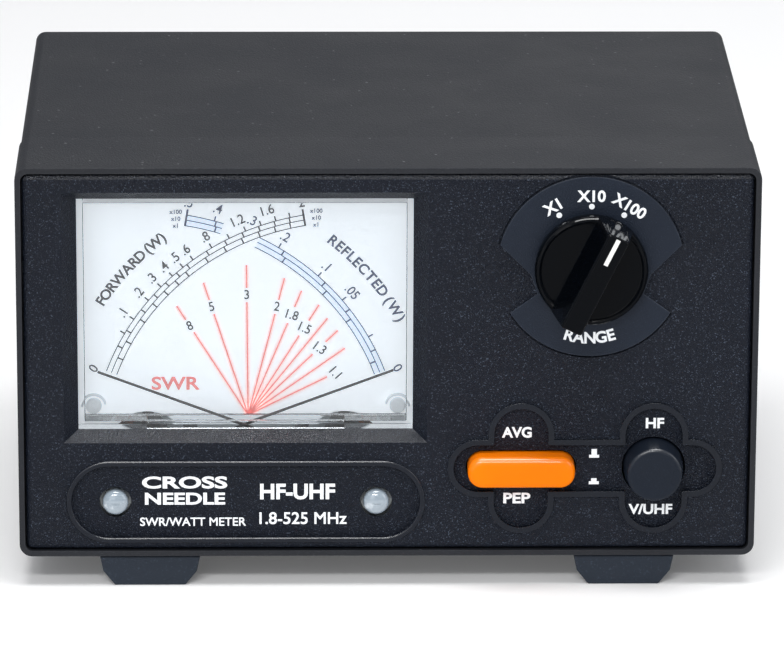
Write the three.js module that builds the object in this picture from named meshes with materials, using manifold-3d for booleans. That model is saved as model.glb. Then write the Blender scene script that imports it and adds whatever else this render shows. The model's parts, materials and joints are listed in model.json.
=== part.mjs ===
// Cross-needle SWR and power meter for amateur radio, as an assembly of its separate pieces.
// Millimetres. X runs to the right, Y from the front to the back, Z up from the soles of the feet.
// Pieces are laid out with the front panel's face at Y = 0, and the whole is then moved along Y
// so that the origin lies under the middle of its box.
import * as THREE from 'three';
import { mergeVertices } from 'three/addons/utils/BufferGeometryUtils.js';
import Module from 'manifold-3d';

const wasm = await Module();
wasm.setup();

// ---------------------------------------------------------------- driving dimensions
// Case
const caseWidth = 155;
const caseHeight = 85.1; // the case alone, above its feet
const caseDepth = 112; // front panel face to rear panel face
const gap = 0.3; // between pieces that bear on each other
const past = 1; // a cut runs this far beyond what it cuts
const hoodDepth = 23.7;
const hoodCorner = 2.6;
const hoodWall = 2.8;
const hoodRim = 1.2;
const rimProud = 0.3;
const lipLength = 3.5;
const lipCorner = 1.4;
const hoodInnerCorner = 1;
const coverInset = 0.35;
const coverSheet = 1;
const coverCorner = 2.2;
const traySheet = 1.2;
const trayFlange = 14;
const rearSheet = 1.2;
const panelThickness = 3;
const panelCorner = 1.6;

// Feet
const footHeight = 6.8;
const footTopWidth = 21.2;
const footWaistWidth = 19.8;
const footSoleWidth = 14.9;
const footWaist = 3.1; // height of the sloped lower part
const footLength = 20;
const footFromSide = 27.45;
const frontFootSetback = 0.6;
const rearFootSetback = 4;
const footScrewRecess = 3.6;

// Window in the front panel and the meter behind it
const windowFromLeft = 9.6;
const windowFromTop = 5.3;
const meterToHood = 3.9; // under the meter's housing
const controlsWidth = 69.2; // from the window's right edge to the case's side
const windowSlope = 3;
const coverLap = 0.55; // the clear cover reaches this far behind the window's edge
const clearFront = 1.5;
const clearWall = 1.8;
const clearDepth = 6.9;
const dialThickness = 0.8;
const pivotBelowWindow = 7.5; // pointer axes below the clear cover
const movementPlate = 1.5;
const housingWall = 1.5;
const housingDepth = 30;
const pivotFromSide = 14.8; // each pointer's axis from the meter's side
const yokeToHousing = 0.4;
const restAngle = 20.7; // degrees above the horizontal
const pointerSweep = 60; // degrees
const pointerTipClearance = 2.6;
const pointerTail = 8.5;
const pointerWidth = 0.6;
const pointerThickness = 0.4;
const pointerPlaneGap = 0.5;
const pointerBossLength = 0.8;
const pointerBossProud = 0.2; // in front of the pointer
const balanceLength = 2.2; // the weight on the pointer's tail
const balanceWidth = 1.8;
const balanceProud = 0.15; // in front of the pointer and behind it
const pointerFromPlate = 1.9;
const bossRadius = 1.8;
const staffRadius = 0.7;
const movementHole = 9.6;
const coilReach = 7.4;
const coilWire = 1.8;
const coilHeight = 2.6;
const coilLength = 13.4;
const coilBehindDial = 2.7;
const coreClearance = 1.2; // inside the coil
const yokeClearance = 1.8; // outside it
const yokeWall = 1.4;
const yokeLength = 12;
const coreInset = 1.6; // the core is this much shorter at each end than its yoke
const yokeBarWidth = 2.4;
const yokeBarInset = 4;
const yokeBarLap = 0.6; // into the yoke
const yokeFootWidth = 8;
const yokeFootRise = 1; // above the yoke
const adjusterSide = 6.6; // zero adjusters, outside the pointers' axes
const adjusterDrop = 7.4; // and below them
const adjusterRadius = 2.72;
const adjusterClearance = 0.63;
const adjusterProud = 0.9;
const adjusterNeck = 1.5;
const adjusterShoulder = 0.3; // the dome starts this far behind the panel's face
const adjusterFork = 0.8;
const adjusterPin = 0.5;
const adjusterPinOut = 1.6;
const adjusterPinLength = 1.1;
const dialScrewClearance = 0.1; // to the clear cover's wall
const dialScrewHead = 1.7;
const dialScrewHeight = 0.9;
const dialScrewSide = 0.4;
const dialScrewLength = 4; // into the housing
const dialBossHalf = 2.3;
const dialBossLength = 6;
const dialBossHole = 5;

// Name recess under the window
const nameHeight = 18.2;
const nameFromWindow = 0.3; // inside the window's sides
const nameFromBottom = 2.9;
const beadWidth = 1.2;
const beadProud = 0.4;
const recessDepth = 0.6;

// Range switch and its escutcheon
const rangeFromRight = 35.3;
const escutcheonFromTop = 1.9;
const escutcheonRadius = 19.5;
const escutcheonProud = 0.3;
const escutcheonKnobGap = 0.8; // its notches stop this far from the knob
// Degrees above the horizontal: the notch's edges at the rim and beside the knob.
const notchTop = 14;
const notchBottom = -31;
const notchInnerTop = -8;
const notchInnerBottom = -28;
const shaftRadius = 3;
const bushingRadius = 4.4;
const bushingProud = 2.2;
const nutAcross = 11;
const nutThickness = 1.4;
const switchRadius = 12.5;
const switchDepth = 14;
const shaftEnd = 2; // the shaft stops this far inside the switch
const skirtRadius = 11.8;
const skirtThickness = 3;
const skirtHollow = 1.9;
const skirtWall = 2.2;
const skirtEdge = 0.8;
const knobGap = 0.6;
const knobProud = 14.5;
const gripBase = 8.2;
const gripTop = 4.6;
const gripSink = 0.5; // into the skirt
const gripSetback = 0.2; // inside the skirt's rim
const shaftReach = 7.4;
const rangePointing = 26; // degrees clockwise from upright, a little short of X100
const inlayLength = 6.2;
const inlayWidth = 0.9;
const inlayDepth = 0.5;
const inlayFromTip = 0.6;

// Push buttons
const buttonsFromBottom = 19.4;
const avgFromRight = 49.4;
const bandFromRight = 21.5;
const avgWidth = 22.5;
const avgHeight = 6.8;
const avgProud = 4;
const avgEdge = 1.1;
const bandRadius = 6.3;
const bandFaceRadius = 5.8;
const bandProud = 5;
const bandEdge = 0.9;
const bandEdgeStep = 0.25;
const buttonClearance = 0.4;
const buttonTravel = 3;
const buttonRear = 0.5; // how far a cap reaches behind the panel
const plungerSize = 3.8;
const switchFront = 12;
const pushSwitchDepth = 14;
const pushSwitchWidth = 12;
const pushSwitchHeight = 10;
const plungerReach = 7; // into its switch, with the button out
const boardSheet = 1.6;
const boardMargin = 10;
const boardHalfHeight = 13.4;
const boardBossOffset = 10.5;
const boardBossRadius = 2.4;

// Switch recess: a long capsule and one upright capsule behind each button
const recessLong = 57.7;
const recessTall = 12.7;
const avgRecessWidth = 13.8;
const bandRecessWidth = 14.4;
const uprightHeight = 28.8;
const recessShift = 0.5; // its middle, left of the buttons' middle

// Rear connectors
const socketFromSide = 20.5;
const socketSpace = 4.6; // between two flanges
const socketFromBottom = 47;
const socketFlange = 25.4;
const flangeCorner = 1.5;
const flangeThickness = 2;
const barrelRadius = 7.95;
const barrelBore = 5.75;
const barrelLength = 13;
const barrelEdge = 0.6;
const mouthDepth = 4.8;
const insulatorNeck = 5;
const neckInside = 7;
const contactRadius = 2.4;
const contactBore = 1.95;
const contactDepth = 8;
const contactTail = 1.5;
const tailInside = 10;
const jackFromBottom = 17.2;
const jackFlange = 7;
const jackRadius = 5.4;
const jackBore = 2.8;
const jackPin = 1.05;
const jackDepth = 12;
const jackHoleDepth = 9;
const jackPinSetback = 1;

// Boxes and boards inside
const couplerWidth = 56;
const couplerHeight = 30;
const couplerDepth = 34;
const couplerSheet = 1;
const mainBoardFromMeter = 4.4;
const mainBoardFromRear = 6;
const mainBoardMargin = 17.5;
const postHeight = 5.4;
const lampBoardDepth = 9;
const lampBoardInset = 6;
const lampBoardSheet = 1.2;
const lampBoardFromDial = 2;

// Side screws
const screwHead = 3;
const screwHeadHeight = 1.2;
const screwShank = 1.45;
const screwHole = 1.8;
const screwLength = 6;
const footScrewReach = 3.6; // above the underside of the case
const sideScrewHeight = 8;
const sideScrewFromHood = 16;
const sideScrewFromRear = 16;

// ---------------------------------------------------------------- worked out from them
const left = -caseWidth / 2;
const right = caseWidth / 2;
const base = footHeight;
const top = footHeight + caseHeight;
const rear = caseDepth;

const windowHalfX = (caseWidth - windowFromLeft - controlsWidth) / 2;
const windowInnerScale = (windowHalfX - windowSlope) / windowHalfX;
const coreRadius = coilReach - coilWire - coreClearance;
const yokeBore = coilReach + yokeClearance;
const meterBase = base + hoodWall + meterToHood;
const pivotZ = meterBase + housingWall + yokeToHousing + yokeWall + yokeBore;
const clearBase = pivotZ + pivotBelowWindow;
// The window's lower edge, such that its sloped sides end at the clear cover's lower edge.
const windowTop = top - windowFromTop;
const windowBottom =
  (2 * (clearBase + coverLap) - windowTop * (1 - windowInnerScale)) / (1 + windowInnerScale);
const windowHalfZ = (windowTop - windowBottom) / 2;
const meterX = left + windowFromLeft + windowHalfX;
const meterZ = (windowTop + windowBottom) / 2;
const meterHalfX = windowHalfX * windowInnerScale + coverLap;
const meterHalfZ = windowHalfZ * windowInnerScale + coverLap;
const clearFrontY = panelThickness + gap;
const dialY = clearFrontY + clearDepth + gap;
const housingY = dialY + dialThickness + gap;
const pivotSpread = meterHalfX - pivotFromSide;
const dialScrewInset = clearWall + dialScrewHead + dialScrewClearance;
const restRadians = THREE.MathUtils.degToRad(restAngle);
const topRadians = THREE.MathUtils.degToRad(restAngle + pointerSweep);
const sideReach = (meterHalfX - clearWall - pointerTipClearance + pivotSpread) / Math.cos(restRadians);
const topReach = (meterZ + meterHalfZ - clearWall - pointerTipClearance - pivotZ) / Math.sin(topRadians);
const pointerLength = Math.min(sideReach, topReach);
const forwardPlane = clearFrontY + clearFront + pointerFromPlate;
const reflectedPlane = forwardPlane + pointerThickness + pointerPlaneGap;
const coilY = dialY + dialThickness + coilBehindDial;
const rangeX = right - rangeFromRight;
const rangeZ = top - escutcheonFromTop - escutcheonRadius;
const buttonZ = base + buttonsFromBottom;
const avgX = right - avgFromRight;
const bandX = right - bandFromRight;
const recessX = (avgX + bandX) / 2 - recessShift;
const boardY = switchFront + pushSwitchDepth + gap;
const coverHalf = right - coverInset;
const coverInnerHalf = coverHalf - coverSheet;
const trayHalf = coverInnerHalf - gap;
const trayTop = base + traySheet;
const coverInnerTop = top - coverInset - coverSheet;
const socketZ = base + socketFromBottom;
const socketOuter = right - socketFromSide;
const socketInner = socketOuter - socketFlange - socketSpace;
const jackZ = base + jackFromBottom;
const socketEnd = rear + gap + flangeThickness + barrelLength;
const couplerX = (socketOuter + socketInner) / 2;

// ---------------------------------------------------------------- materials
function finish(color, roughness, metalness) {
  return { color, roughness, metalness };
}
const hoodPlastic = finish(0x2b2c2e, 0.55, 0);
const texturedPlastic = finish(0x23262b, 0.6, 0);
const paintedSteel = finish(0x313337, 0.5, 0.2);
const zincSteel = finish(0x9a9a94, 0.4, 0.9);
const footPlastic = finish(0x1c1d1f, 0.75, 0);
const blackScrew = finish(0x1a1a1c, 0.35, 0.8);
const clearPlastic = finish(0xdfe6ea, 0.1, 0);
const whitePlastic = finish(0xe6e9ea, 0.5, 0);
const pearlPlastic = finish(0xd9dee0, 0.3, 0);
const needleMetal = finish(0x2a2a2c, 0.4, 0.5);
const copperWire = finish(0xa05a2c, 0.4, 0.8);
const magnetSteel = finish(0x6c6e72, 0.45, 0.9);
const knobPlastic = finish(0x0c0c0e, 0.15, 0);
const whiteInlay = finish(0xf2f2ee, 0.4, 0);
const orangePlastic = finish(0xff8c00, 0.35, 0);
const buttonPlastic = finish(0x222427, 0.5, 0);
const switchPlastic = finish(0x2d3138, 0.5, 0);
const circuitBoard = finish(0x1f5a34, 0.5, 0);
const nickel = finish(0xb9b9b4, 0.25, 1);
const ptfe = finish(0xe9e6dc, 0.4, 0);
const silverContact = finish(0xd8d4c4, 0.2, 1);

// ---------------------------------------------------------------- solids
// A closed geometry as a solid, turned to face outwards.
function solid(geometry) {
  const bare = geometry.clone();
  bare.deleteAttribute('normal');
  bare.deleteAttribute('uv');
  const merged = mergeVertices(bare, 1e-4);
  const index = merged.index.array;
  const kept = [];
  for (let i = 0; i < index.length; i += 3) {
    const [a, b, c] = [index[i], index[i + 1], index[i + 2]];
    if (a !== b && b !== c && c !== a) kept.push(a, b, c);
  }
  const vertProperties = new Float32Array(merged.attributes.position.array);
  const made = new wasm.Manifold(
    new wasm.Mesh({ numProp: 3, vertProperties, triVerts: new Uint32Array(kept) }),
  );
  if (made.volume() > 0) return made;
  kept.reverse();
  return new wasm.Manifold(
    new wasm.Mesh({ numProp: 3, vertProperties, triVerts: new Uint32Array(kept) }),
  );
}

function geometryOf(body) {
  const mesh = body.getMesh();
  const geometry = new THREE.BufferGeometry();
  geometry.setAttribute('position', new THREE.BufferAttribute(mesh.vertProperties, 3));
  geometry.setIndex(new THREE.BufferAttribute(mesh.triVerts, 1));
  const flat = geometry.toNonIndexed();
  flat.computeVertexNormals();
  return flat;
}

// An outline in X and Z, as a slab from y0 back to y1.
function slab(outline, y0, y1, curveSegments = 3) {
  const geometry = new THREE.ExtrudeGeometry(outline, {
    depth: y1 - y0,
    bevelEnabled: false,
    curveSegments,
  });
  geometry.rotateX(Math.PI / 2);
  geometry.translate(0, y1, 0);
  return solid(geometry);
}

function block(x0, x1, y0, y1, z0, z1) {
  const geometry = new THREE.BoxGeometry(x1 - x0, y1 - y0, z1 - z0);
  geometry.translate((x0 + x1) / 2, (y0 + y1) / 2, (z0 + z1) / 2);
  return solid(geometry);
}

// A round bar along Y.
function rod(x, z, radius, y0, y1, sides = 20) {
  const geometry = new THREE.CylinderGeometry(radius, radius, y1 - y0, sides);
  geometry.translate(x, (y0 + y1) / 2, z);
  return solid(geometry);
}

// A round bar along Z.
function post(x, y, radius, z0, z1, sides = 16) {
  const geometry = new THREE.CylinderGeometry(radius, radius, z1 - z0, sides);
  geometry.rotateX(Math.PI / 2);
  geometry.translate(x, y, (z0 + z1) / 2);
  return solid(geometry);
}

// A round bar along X.
function pin(x0, x1, y, z, radius, sides = 16) {
  const geometry = new THREE.CylinderGeometry(radius, radius, x1 - x0, sides);
  geometry.rotateZ(Math.PI / 2);
  geometry.translate((x0 + x1) / 2, y, z);
  return solid(geometry);
}

// A profile of [radius, y] pairs turned about the line through x and z along Y.
function turned(x, z, profile, sides = 20) {
  const points = profile.map(([radius, y]) => new THREE.Vector2(radius, y));
  const geometry = new THREE.LatheGeometry(points, sides);
  geometry.translate(x, 0, z);
  return solid(geometry);
}

// ---------------------------------------------------------------- outlines
function roundedBox(x0, x1, z0, z1, lower, upper = lower) {
  const outline = new THREE.Shape();
  outline.moveTo(x0 + lower, z0);
  outline.lineTo(x1 - lower, z0);
  if (lower > 0) outline.absarc(x1 - lower, z0 + lower, lower, -Math.PI / 2, 0);
  outline.lineTo(x1, z1 - upper);
  if (upper > 0) outline.absarc(x1 - upper, z1 - upper, upper, 0, Math.PI / 2);
  outline.lineTo(x0 + upper, z1);
  if (upper > 0) outline.absarc(x0 + upper, z1 - upper, upper, Math.PI / 2, Math.PI);
  outline.lineTo(x0, z0 + lower);
  if (lower > 0) outline.absarc(x0 + lower, z0 + lower, lower, Math.PI, 1.5 * Math.PI);
  return outline;
}

// A box about a middle with full round ends on its short sides.
function capsule(x, z, width, height) {
  const radius = Math.min(width, height) / 2;
  const outline = new THREE.Shape();
  if (width > height) {
    const reach = width / 2 - radius;
    outline.absarc(x + reach, z, radius, -Math.PI / 2, Math.PI / 2);
    outline.absarc(x - reach, z, radius, Math.PI / 2, 1.5 * Math.PI);
  } else {
    const reach = height / 2 - radius;
    outline.absarc(x, z + reach, radius, 0, Math.PI);
    outline.absarc(x, z - reach, radius, Math.PI, 2 * Math.PI);
  }
  return outline;
}

// ---------------------------------------------------------------- scene graph
const assembly = new THREE.Group();

function piece(name, body, look, parent = assembly) {
  const material = new THREE.MeshStandardMaterial(look);
  const mesh = new THREE.Mesh(geometryOf(body), material);
  mesh.name = name;
  parent.add(mesh);
  return mesh;
}

// A group at a point, turned clockwise as seen from the front.
function turnedGroup(x, z, degrees) {
  const group = new THREE.Group();
  group.position.set(x, 0, z);
  group.rotation.y = THREE.MathUtils.degToRad(degrees);
  assembly.add(group);
  return group;
}

// ---------------------------------------------------------------- case
function hood() {
  const outer = slab(roundedBox(left, right, base, top, hoodCorner), -rimProud, hoodDepth);
  const pocket = slab(
    roundedBox(left + hoodRim, right - hoodRim, base + hoodRim, top - hoodRim, panelCorner),
    -rimProud - past,
    panelThickness + gap,
  );
  const inside = slab(
    roundedBox(left + hoodWall, right - hoodWall, base + hoodWall, top - hoodWall, hoodInnerCorner),
    0,
    hoodDepth + lipLength + past,
  );
  const lipInset = coverInset + coverSheet + gap;
  const lip = slab(
    roundedBox(left + lipInset, right - lipInset, base + lipInset, top - lipInset, lipCorner),
    hoodDepth - past,
    hoodDepth + lipLength,
  );
  return outer.add(lip).subtract(pocket).subtract(inside);
}

function coverShell() {
  const front = hoodDepth + gap;
  const outer = roundedBox(-coverHalf, coverHalf, base, top - coverInset, 0, coverCorner);
  const inner = roundedBox(
    -coverInnerHalf,
    coverInnerHalf,
    base - past,
    coverInnerTop,
    0,
    coverCorner - coverSheet,
  );
  let shell = slab(outer, front, rear).subtract(slab(inner, front - past, rear + past));
  for (const y of sideScrewPlaces()) {
    shell = shell.subtract(pin(-right, right, y, base + sideScrewHeight, screwHole));
  }
  return shell;
}

function sideScrewPlaces() {
  return [hoodDepth + sideScrewFromHood, rear - sideScrewFromRear];
}

function tray() {
  const floor = block(-trayHalf, trayHalf, hoodDepth + gap, rear, base, trayTop);
  const flangeFront = hoodDepth + lipLength + gap;
  const flangeRear = rear - rearSheet - gap;
  const flangeTop = trayTop + trayFlange;
  const inner = trayHalf - traySheet;
  let made = floor
    .add(block(-trayHalf, -inner, flangeFront, flangeRear, base, flangeTop))
    .add(block(inner, trayHalf, flangeFront, flangeRear, base, flangeTop));
  for (const y of sideScrewPlaces()) {
    made = made.subtract(pin(-right, right, y, base + sideScrewHeight, screwHole));
  }
  for (const side of [-1, 1]) {
    const screw = footPlace(side, false);
    made = made.subtract(post(screw.x, screw.y, screwHole, base - past, trayTop + past));
  }
  return made;
}

function rearPlate() {
  const corner = coverCorner - coverSheet;
  const outline = roundedBox(-trayHalf, trayHalf, trayTop + gap, coverInnerTop - gap, 0, corner);
  let plate = slab(outline, rear - rearSheet, rear);
  for (const { x } of sockets()) {
    plate = plate.subtract(rod(x, socketZ, insulatorNeck + gap, rear - rearSheet - past, rear + past));
  }
  return plate.subtract(rod(0, jackZ, jackRadius + gap, rear - rearSheet - past, rear + past));
}

function footPlace(side, atFront) {
  const middle = footLength / 2;
  return {
    x: side * (right - footFromSide),
    y: atFront ? frontFootSetback + middle : rear - rearFootSetback - middle,
  };
}

function foot(place) {
  const crown = base - gap;
  const outline = new THREE.Shape();
  outline.moveTo(place.x - footSoleWidth / 2, 0);
  outline.lineTo(place.x + footSoleWidth / 2, 0);
  outline.lineTo(place.x + footWaistWidth / 2, footWaist);
  outline.lineTo(place.x + footTopWidth / 2, crown);
  outline.lineTo(place.x - footTopWidth / 2, crown);
  outline.lineTo(place.x - footWaistWidth / 2, footWaist);
  outline.closePath();
  return slab(outline, place.y - footLength / 2, place.y + footLength / 2)
    .subtract(post(place.x, place.y, screwHead + gap, -past, footScrewRecess))
    .subtract(post(place.x, place.y, screwHole, 0, base));
}

function footScrew(place) {
  const seat = footScrewRecess - gap;
  const head = post(place.x, place.y, screwHead, seat - screwHeadHeight, seat);
  return head.add(post(place.x, place.y, screwShank, seat - gap, base + footScrewReach));
}

function sideScrew(side, y) {
  const z = base + sideScrewHeight;
  const seat = coverHalf + gap;
  const end = seat - screwLength;
  const head = pin(seat, seat + screwHeadHeight, y, z, screwHead);
  const made = head.add(pin(end, seat + gap, y, z, screwShank));
  return side > 0 ? made : made.mirror([1, 0, 0]);
}

function buildCase() {
  let shell = hood();
  for (const side of [-1, 1]) {
    const place = footPlace(side, true);
    shell = shell.subtract(post(place.x, place.y, screwHole, base - past, base + hoodWall + past));
  }
  piece('bezel_frame', shell, hoodPlastic);
  piece('top_cover', coverShell(), paintedSteel);
  piece('chassis_tray', tray(), paintedSteel);
  piece('rear_panel', rearPlate(), paintedSteel);
  for (const [side, sideName] of [[-1, 'left'], [1, 'right']]) {
    for (const [atFront, endName] of [[true, 'front'], [false, 'rear']]) {
      const place = footPlace(side, atFront);
      piece(`foot_${endName}_${sideName}`, foot(place), footPlastic);
      piece(`foot_screw_${endName}_${sideName}`, footScrew(place), blackScrew);
    }
    const [frontY, rearY] = sideScrewPlaces();
    piece(`cover_screw_front_${sideName}`, sideScrew(side, frontY), blackScrew);
    piece(`cover_screw_rear_${sideName}`, sideScrew(side, rearY), blackScrew);
  }
}

// ---------------------------------------------------------------- front panel
// A raised ring of the given outlines with a sunk floor inside it.
function sunkArea(panel, outer, inner) {
  return panel
    .add(outer(-beadProud, panelThickness / 2))
    .subtract(inner(-beadProud - past, recessDepth));
}

function nameOutline(inset) {
  const width = 2 * (windowHalfX - nameFromWindow);
  const z = base + nameFromBottom + nameHeight / 2;
  return capsule(meterX, z, width - 2 * inset, nameHeight - 2 * inset);
}

function switchArea(inset, y0, y1) {
  const less = 2 * inset;
  const long = slab(capsule(recessX, buttonZ, recessLong - less, recessTall - less), y0, y1, 6);
  const avg = slab(capsule(avgX, buttonZ, avgRecessWidth - less, uprightHeight - less), y0, y1, 6);
  const band = slab(capsule(bandX, buttonZ, bandRecessWidth - less, uprightHeight - less), y0, y1, 6);
  return long.add(avg).add(band);
}

// The escutcheon is a disc with a notch at each side that narrows towards the knob.
function escutcheonOutline() {
  const outline = new THREE.Shape();
  const upper = THREE.MathUtils.degToRad(notchTop);
  const lower = THREE.MathUtils.degToRad(notchBottom);
  const inner = skirtRadius + escutcheonKnobGap;
  const innerUpper = THREE.MathUtils.degToRad(notchInnerTop);
  const innerLower = THREE.MathUtils.degToRad(notchInnerBottom);
  outline.absarc(rangeX, rangeZ, escutcheonRadius, upper, Math.PI - upper);
  outline.absarc(rangeX, rangeZ, inner, Math.PI - innerUpper, Math.PI - innerLower);
  outline.absarc(rangeX, rangeZ, escutcheonRadius, Math.PI - lower, 2 * Math.PI + lower);
  outline.absarc(rangeX, rangeZ, inner, innerLower, innerUpper);
  outline.closePath();
  return outline;
}

function windowCut() {
  const depth = panelThickness + 2 * past;
  const drift = ((1 - windowInnerScale) * past) / panelThickness;
  const corner = Math.SQRT2;
  const geometry = new THREE.CylinderGeometry(
    (windowInnerScale - drift) * corner,
    (1 + drift) * corner,
    depth,
    4,
  );
  geometry.rotateY(Math.PI / 4);
  geometry.scale(windowHalfX, 1, windowHalfZ);
  geometry.translate(meterX, panelThickness / 2, meterZ);
  return solid(geometry);
}

function frontPanel() {
  const edge = hoodRim + gap;
  let panel = slab(
    roundedBox(left + edge, right - edge, base + edge, top - edge, panelCorner - gap),
    0,
    panelThickness,
  );
  panel = panel.add(slab(escutcheonOutline(), -escutcheonProud, panelThickness / 2, 12));
  panel = sunkArea(
    panel,
    (y0, y1) => slab(nameOutline(0), y0, y1, 6),
    (y0, y1) => slab(nameOutline(beadWidth), y0, y1, 6),
  );
  panel = sunkArea(
    panel,
    (y0, y1) => switchArea(0, y0, y1),
    (y0, y1) => switchArea(beadWidth, y0, y1),
  );
  for (const side of [-1, 1]) {
    const z = buttonZ + side * boardBossOffset;
    const x = (avgX + bandX) / 2;
    panel = panel.add(rod(x, z, boardBossRadius, panelThickness / 2, boardY - gap, 12));
  }
  const before = -beadProud - past;
  const through = panelThickness + past;
  const avgHole = capsule(avgX, buttonZ, avgWidth + 2 * buttonClearance, avgHeight + 2 * buttonClearance);
  panel = panel
    .subtract(windowCut())
    .subtract(slab(avgHole, before, through, 6))
    .subtract(rod(bandX, buttonZ, bandRadius + buttonClearance, before, through, 24))
    .subtract(rod(rangeX, rangeZ, bushingRadius + gap, before, through));
  for (const { x } of adjusters()) {
    panel = panel.subtract(rod(x, adjusterZ(), adjusterRadius + adjusterClearance, before, through));
  }
  return panel;
}

// ---------------------------------------------------------------- meter
function adjusters() {
  return [
    { name: 'left', x: meterX - pivotSpread - adjusterSide },
    { name: 'right', x: meterX + pivotSpread + adjusterSide },
  ];
}

function adjusterZ() {
  return pivotZ - adjusterDrop;
}

function meterBlock(inset, y0, y1, z0, z1) {
  return block(meterX - meterHalfX + inset, meterX + meterHalfX - inset, y0, y1, z0, z1);
}

function clearCover() {
  const z0 = meterZ - meterHalfZ;
  const z1 = meterZ + meterHalfZ;
  const y1 = clearFrontY + clearDepth;
  const outer = meterBlock(0, clearFrontY, y1, z0, z1);
  const front = clearFrontY + clearFront;
  const inner = meterBlock(clearWall, front, y1 + past, z0 + clearWall, z1 - clearWall);
  const slotMargin = 0.6;
  // At rest a pointer passes through the floor of the cover this far from its own axis.
  const crossing = (pivotBelowWindow + clearWall) / Math.tan(restRadians) + slotMargin;
  const slotHalf = Math.max(pivotSpread, crossing - pivotSpread);
  const slot = block(
    meterX - slotHalf,
    meterX + slotHalf,
    forwardPlane - slotMargin,
    reflectedPlane + pointerThickness + slotMargin,
    z0 - past,
    z0 + clearWall + past,
  );
  return outer.subtract(inner).subtract(slot);
}

function movementCover() {
  const z1 = meterZ - meterHalfZ - gap;
  let plate = meterBlock(0, clearFrontY, clearFrontY + movementPlate, meterBase, z1);
  const rearY = clearFrontY + movementPlate + past;
  for (const { x } of adjusters()) {
    plate = plate.subtract(rod(x, adjusterZ(), adjusterNeck + gap, clearFrontY - past, rearY));
  }
  return plate;
}

function pivots() {
  return [meterX + pivotSpread, meterX - pivotSpread];
}

function dialScrewPlaces() {
  const reach = meterHalfX - dialScrewInset;
  return [meterX - reach, meterX + reach];
}

function dialScrewZ() {
  return meterZ - meterHalfZ + dialScrewInset;
}

function dial() {
  let plate = meterBlock(0, dialY, dialY + dialThickness, meterZ - meterHalfZ, meterZ + meterHalfZ);
  const rearY = dialY + dialThickness + past;
  for (const x of pivots()) {
    plate = plate.subtract(rod(x, pivotZ, movementHole, dialY - past, rearY, 24));
  }
  for (const x of dialScrewPlaces()) {
    plate = plate.subtract(rod(x, dialScrewZ(), screwShank, dialY - past, rearY, 16));
  }
  return plate;
}

function dialScrew(x) {
  const under = dialY - gap;
  const shank = screwShank - gap;
  return turned(x, dialScrewZ(), [
    [0, under - dialScrewHeight],
    [dialScrewHead * 0.7, under - dialScrewHeight],
    [dialScrewHead, under - dialScrewSide],
    [dialScrewHead, under],
    [shank, under],
    [shank, housingY + dialScrewLength],
    [0, housingY + dialScrewLength],
  ], 16);
}

function housing() {
  const y1 = housingY + housingDepth;
  const lowTop = meterZ - meterHalfZ - gap;
  const lowFront = clearFrontY + movementPlate + gap;
  const topZ = meterZ + meterHalfZ;
  const wall = housingWall;
  let made = meterBlock(0, housingY, y1, meterBase, topZ).add(
    meterBlock(0, lowFront, y1, meterBase, lowTop),
  );
  made = made
    .subtract(meterBlock(wall, housingY - past, y1 - wall, meterBase + wall, topZ - wall))
    .subtract(meterBlock(wall, lowFront - past, y1 - wall, meterBase + wall, lowTop + past));
  for (const x of dialScrewPlaces()) {
    const z = dialScrewZ();
    const side = Math.sign(x - meterX);
    const wallX = meterX + side * (meterHalfX - wall / 2);
    const boss = block(
      Math.min(x - dialBossHalf, wallX),
      Math.max(x + dialBossHalf, wallX),
      housingY,
      housingY + dialBossLength,
      z - dialBossHalf,
      z + dialBossHalf,
    );
    made = made.add(boss).subtract(rod(x, z, screwShank, housingY - past, housingY + dialBossHole, 16));
  }
  return made;
}

// A pointer lies along +X from its axis, which runs along Y through the group's origin.
function pointer(plane) {
  const half = pointerWidth / 2;
  const bar = block(-pointerTail, pointerLength, plane, plane + pointerThickness, -half, half);
  const bossFront = plane - pointerBossProud;
  const boss = rod(0, 0, bossRadius, bossFront, bossFront + pointerBossLength, 16);
  const staff = rod(0, 0, staffRadius, plane, coilY - gap, 10);
  const weight = block(
    -pointerTail,
    -pointerTail + balanceLength,
    plane - balanceProud,
    plane + pointerThickness + balanceProud,
    -balanceWidth / 2,
    balanceWidth / 2,
  );
  return bar.add(boss).add(staff).add(weight);
}

// A coil lies across X at the middle of the pointer's sweep.
function coil() {
  const inner = coilReach - coilWire;
  const half = coilHeight / 2;
  const front = coilY + coilWire / 1.5;
  const back = coilY + coilLength - coilWire / 1.5;
  return block(-coilReach, coilReach, coilY, coilY + coilLength, -half, half).subtract(
    block(-inner, inner, front, back, -half - past, half + past),
  );
}

// The core inside the coil, the ring around it, the bar that joins them and the foot behind.
function magnet(x) {
  const y0 = coilY + (coilLength - yokeLength) / 2;
  const y1 = y0 + yokeLength;
  const outer = yokeBore + yokeWall;
  const ring = rod(x, pivotZ, outer, y0, y1).subtract(rod(x, pivotZ, yokeBore, y0 - past, y1 + past));
  const core = rod(x, pivotZ, coreRadius, y0 + coreInset, y1 - coreInset, 20);
  const bar = block(
    x - yokeBarWidth / 2,
    x + yokeBarWidth / 2,
    y0 + yokeBarInset,
    y1 - yokeBarInset,
    pivotZ - yokeBore - yokeBarLap,
    pivotZ + yokeBore + yokeBarLap,
  );
  const bracket = block(
    x - yokeFootWidth / 2,
    x + yokeFootWidth / 2,
    y1 - yokeBarInset,
    housingY + housingDepth - housingWall - gap,
    pivotZ + yokeBore,
    pivotZ + outer + yokeFootRise,
  );
  return ring.add(core).add(bar).add(bracket);
}

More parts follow.
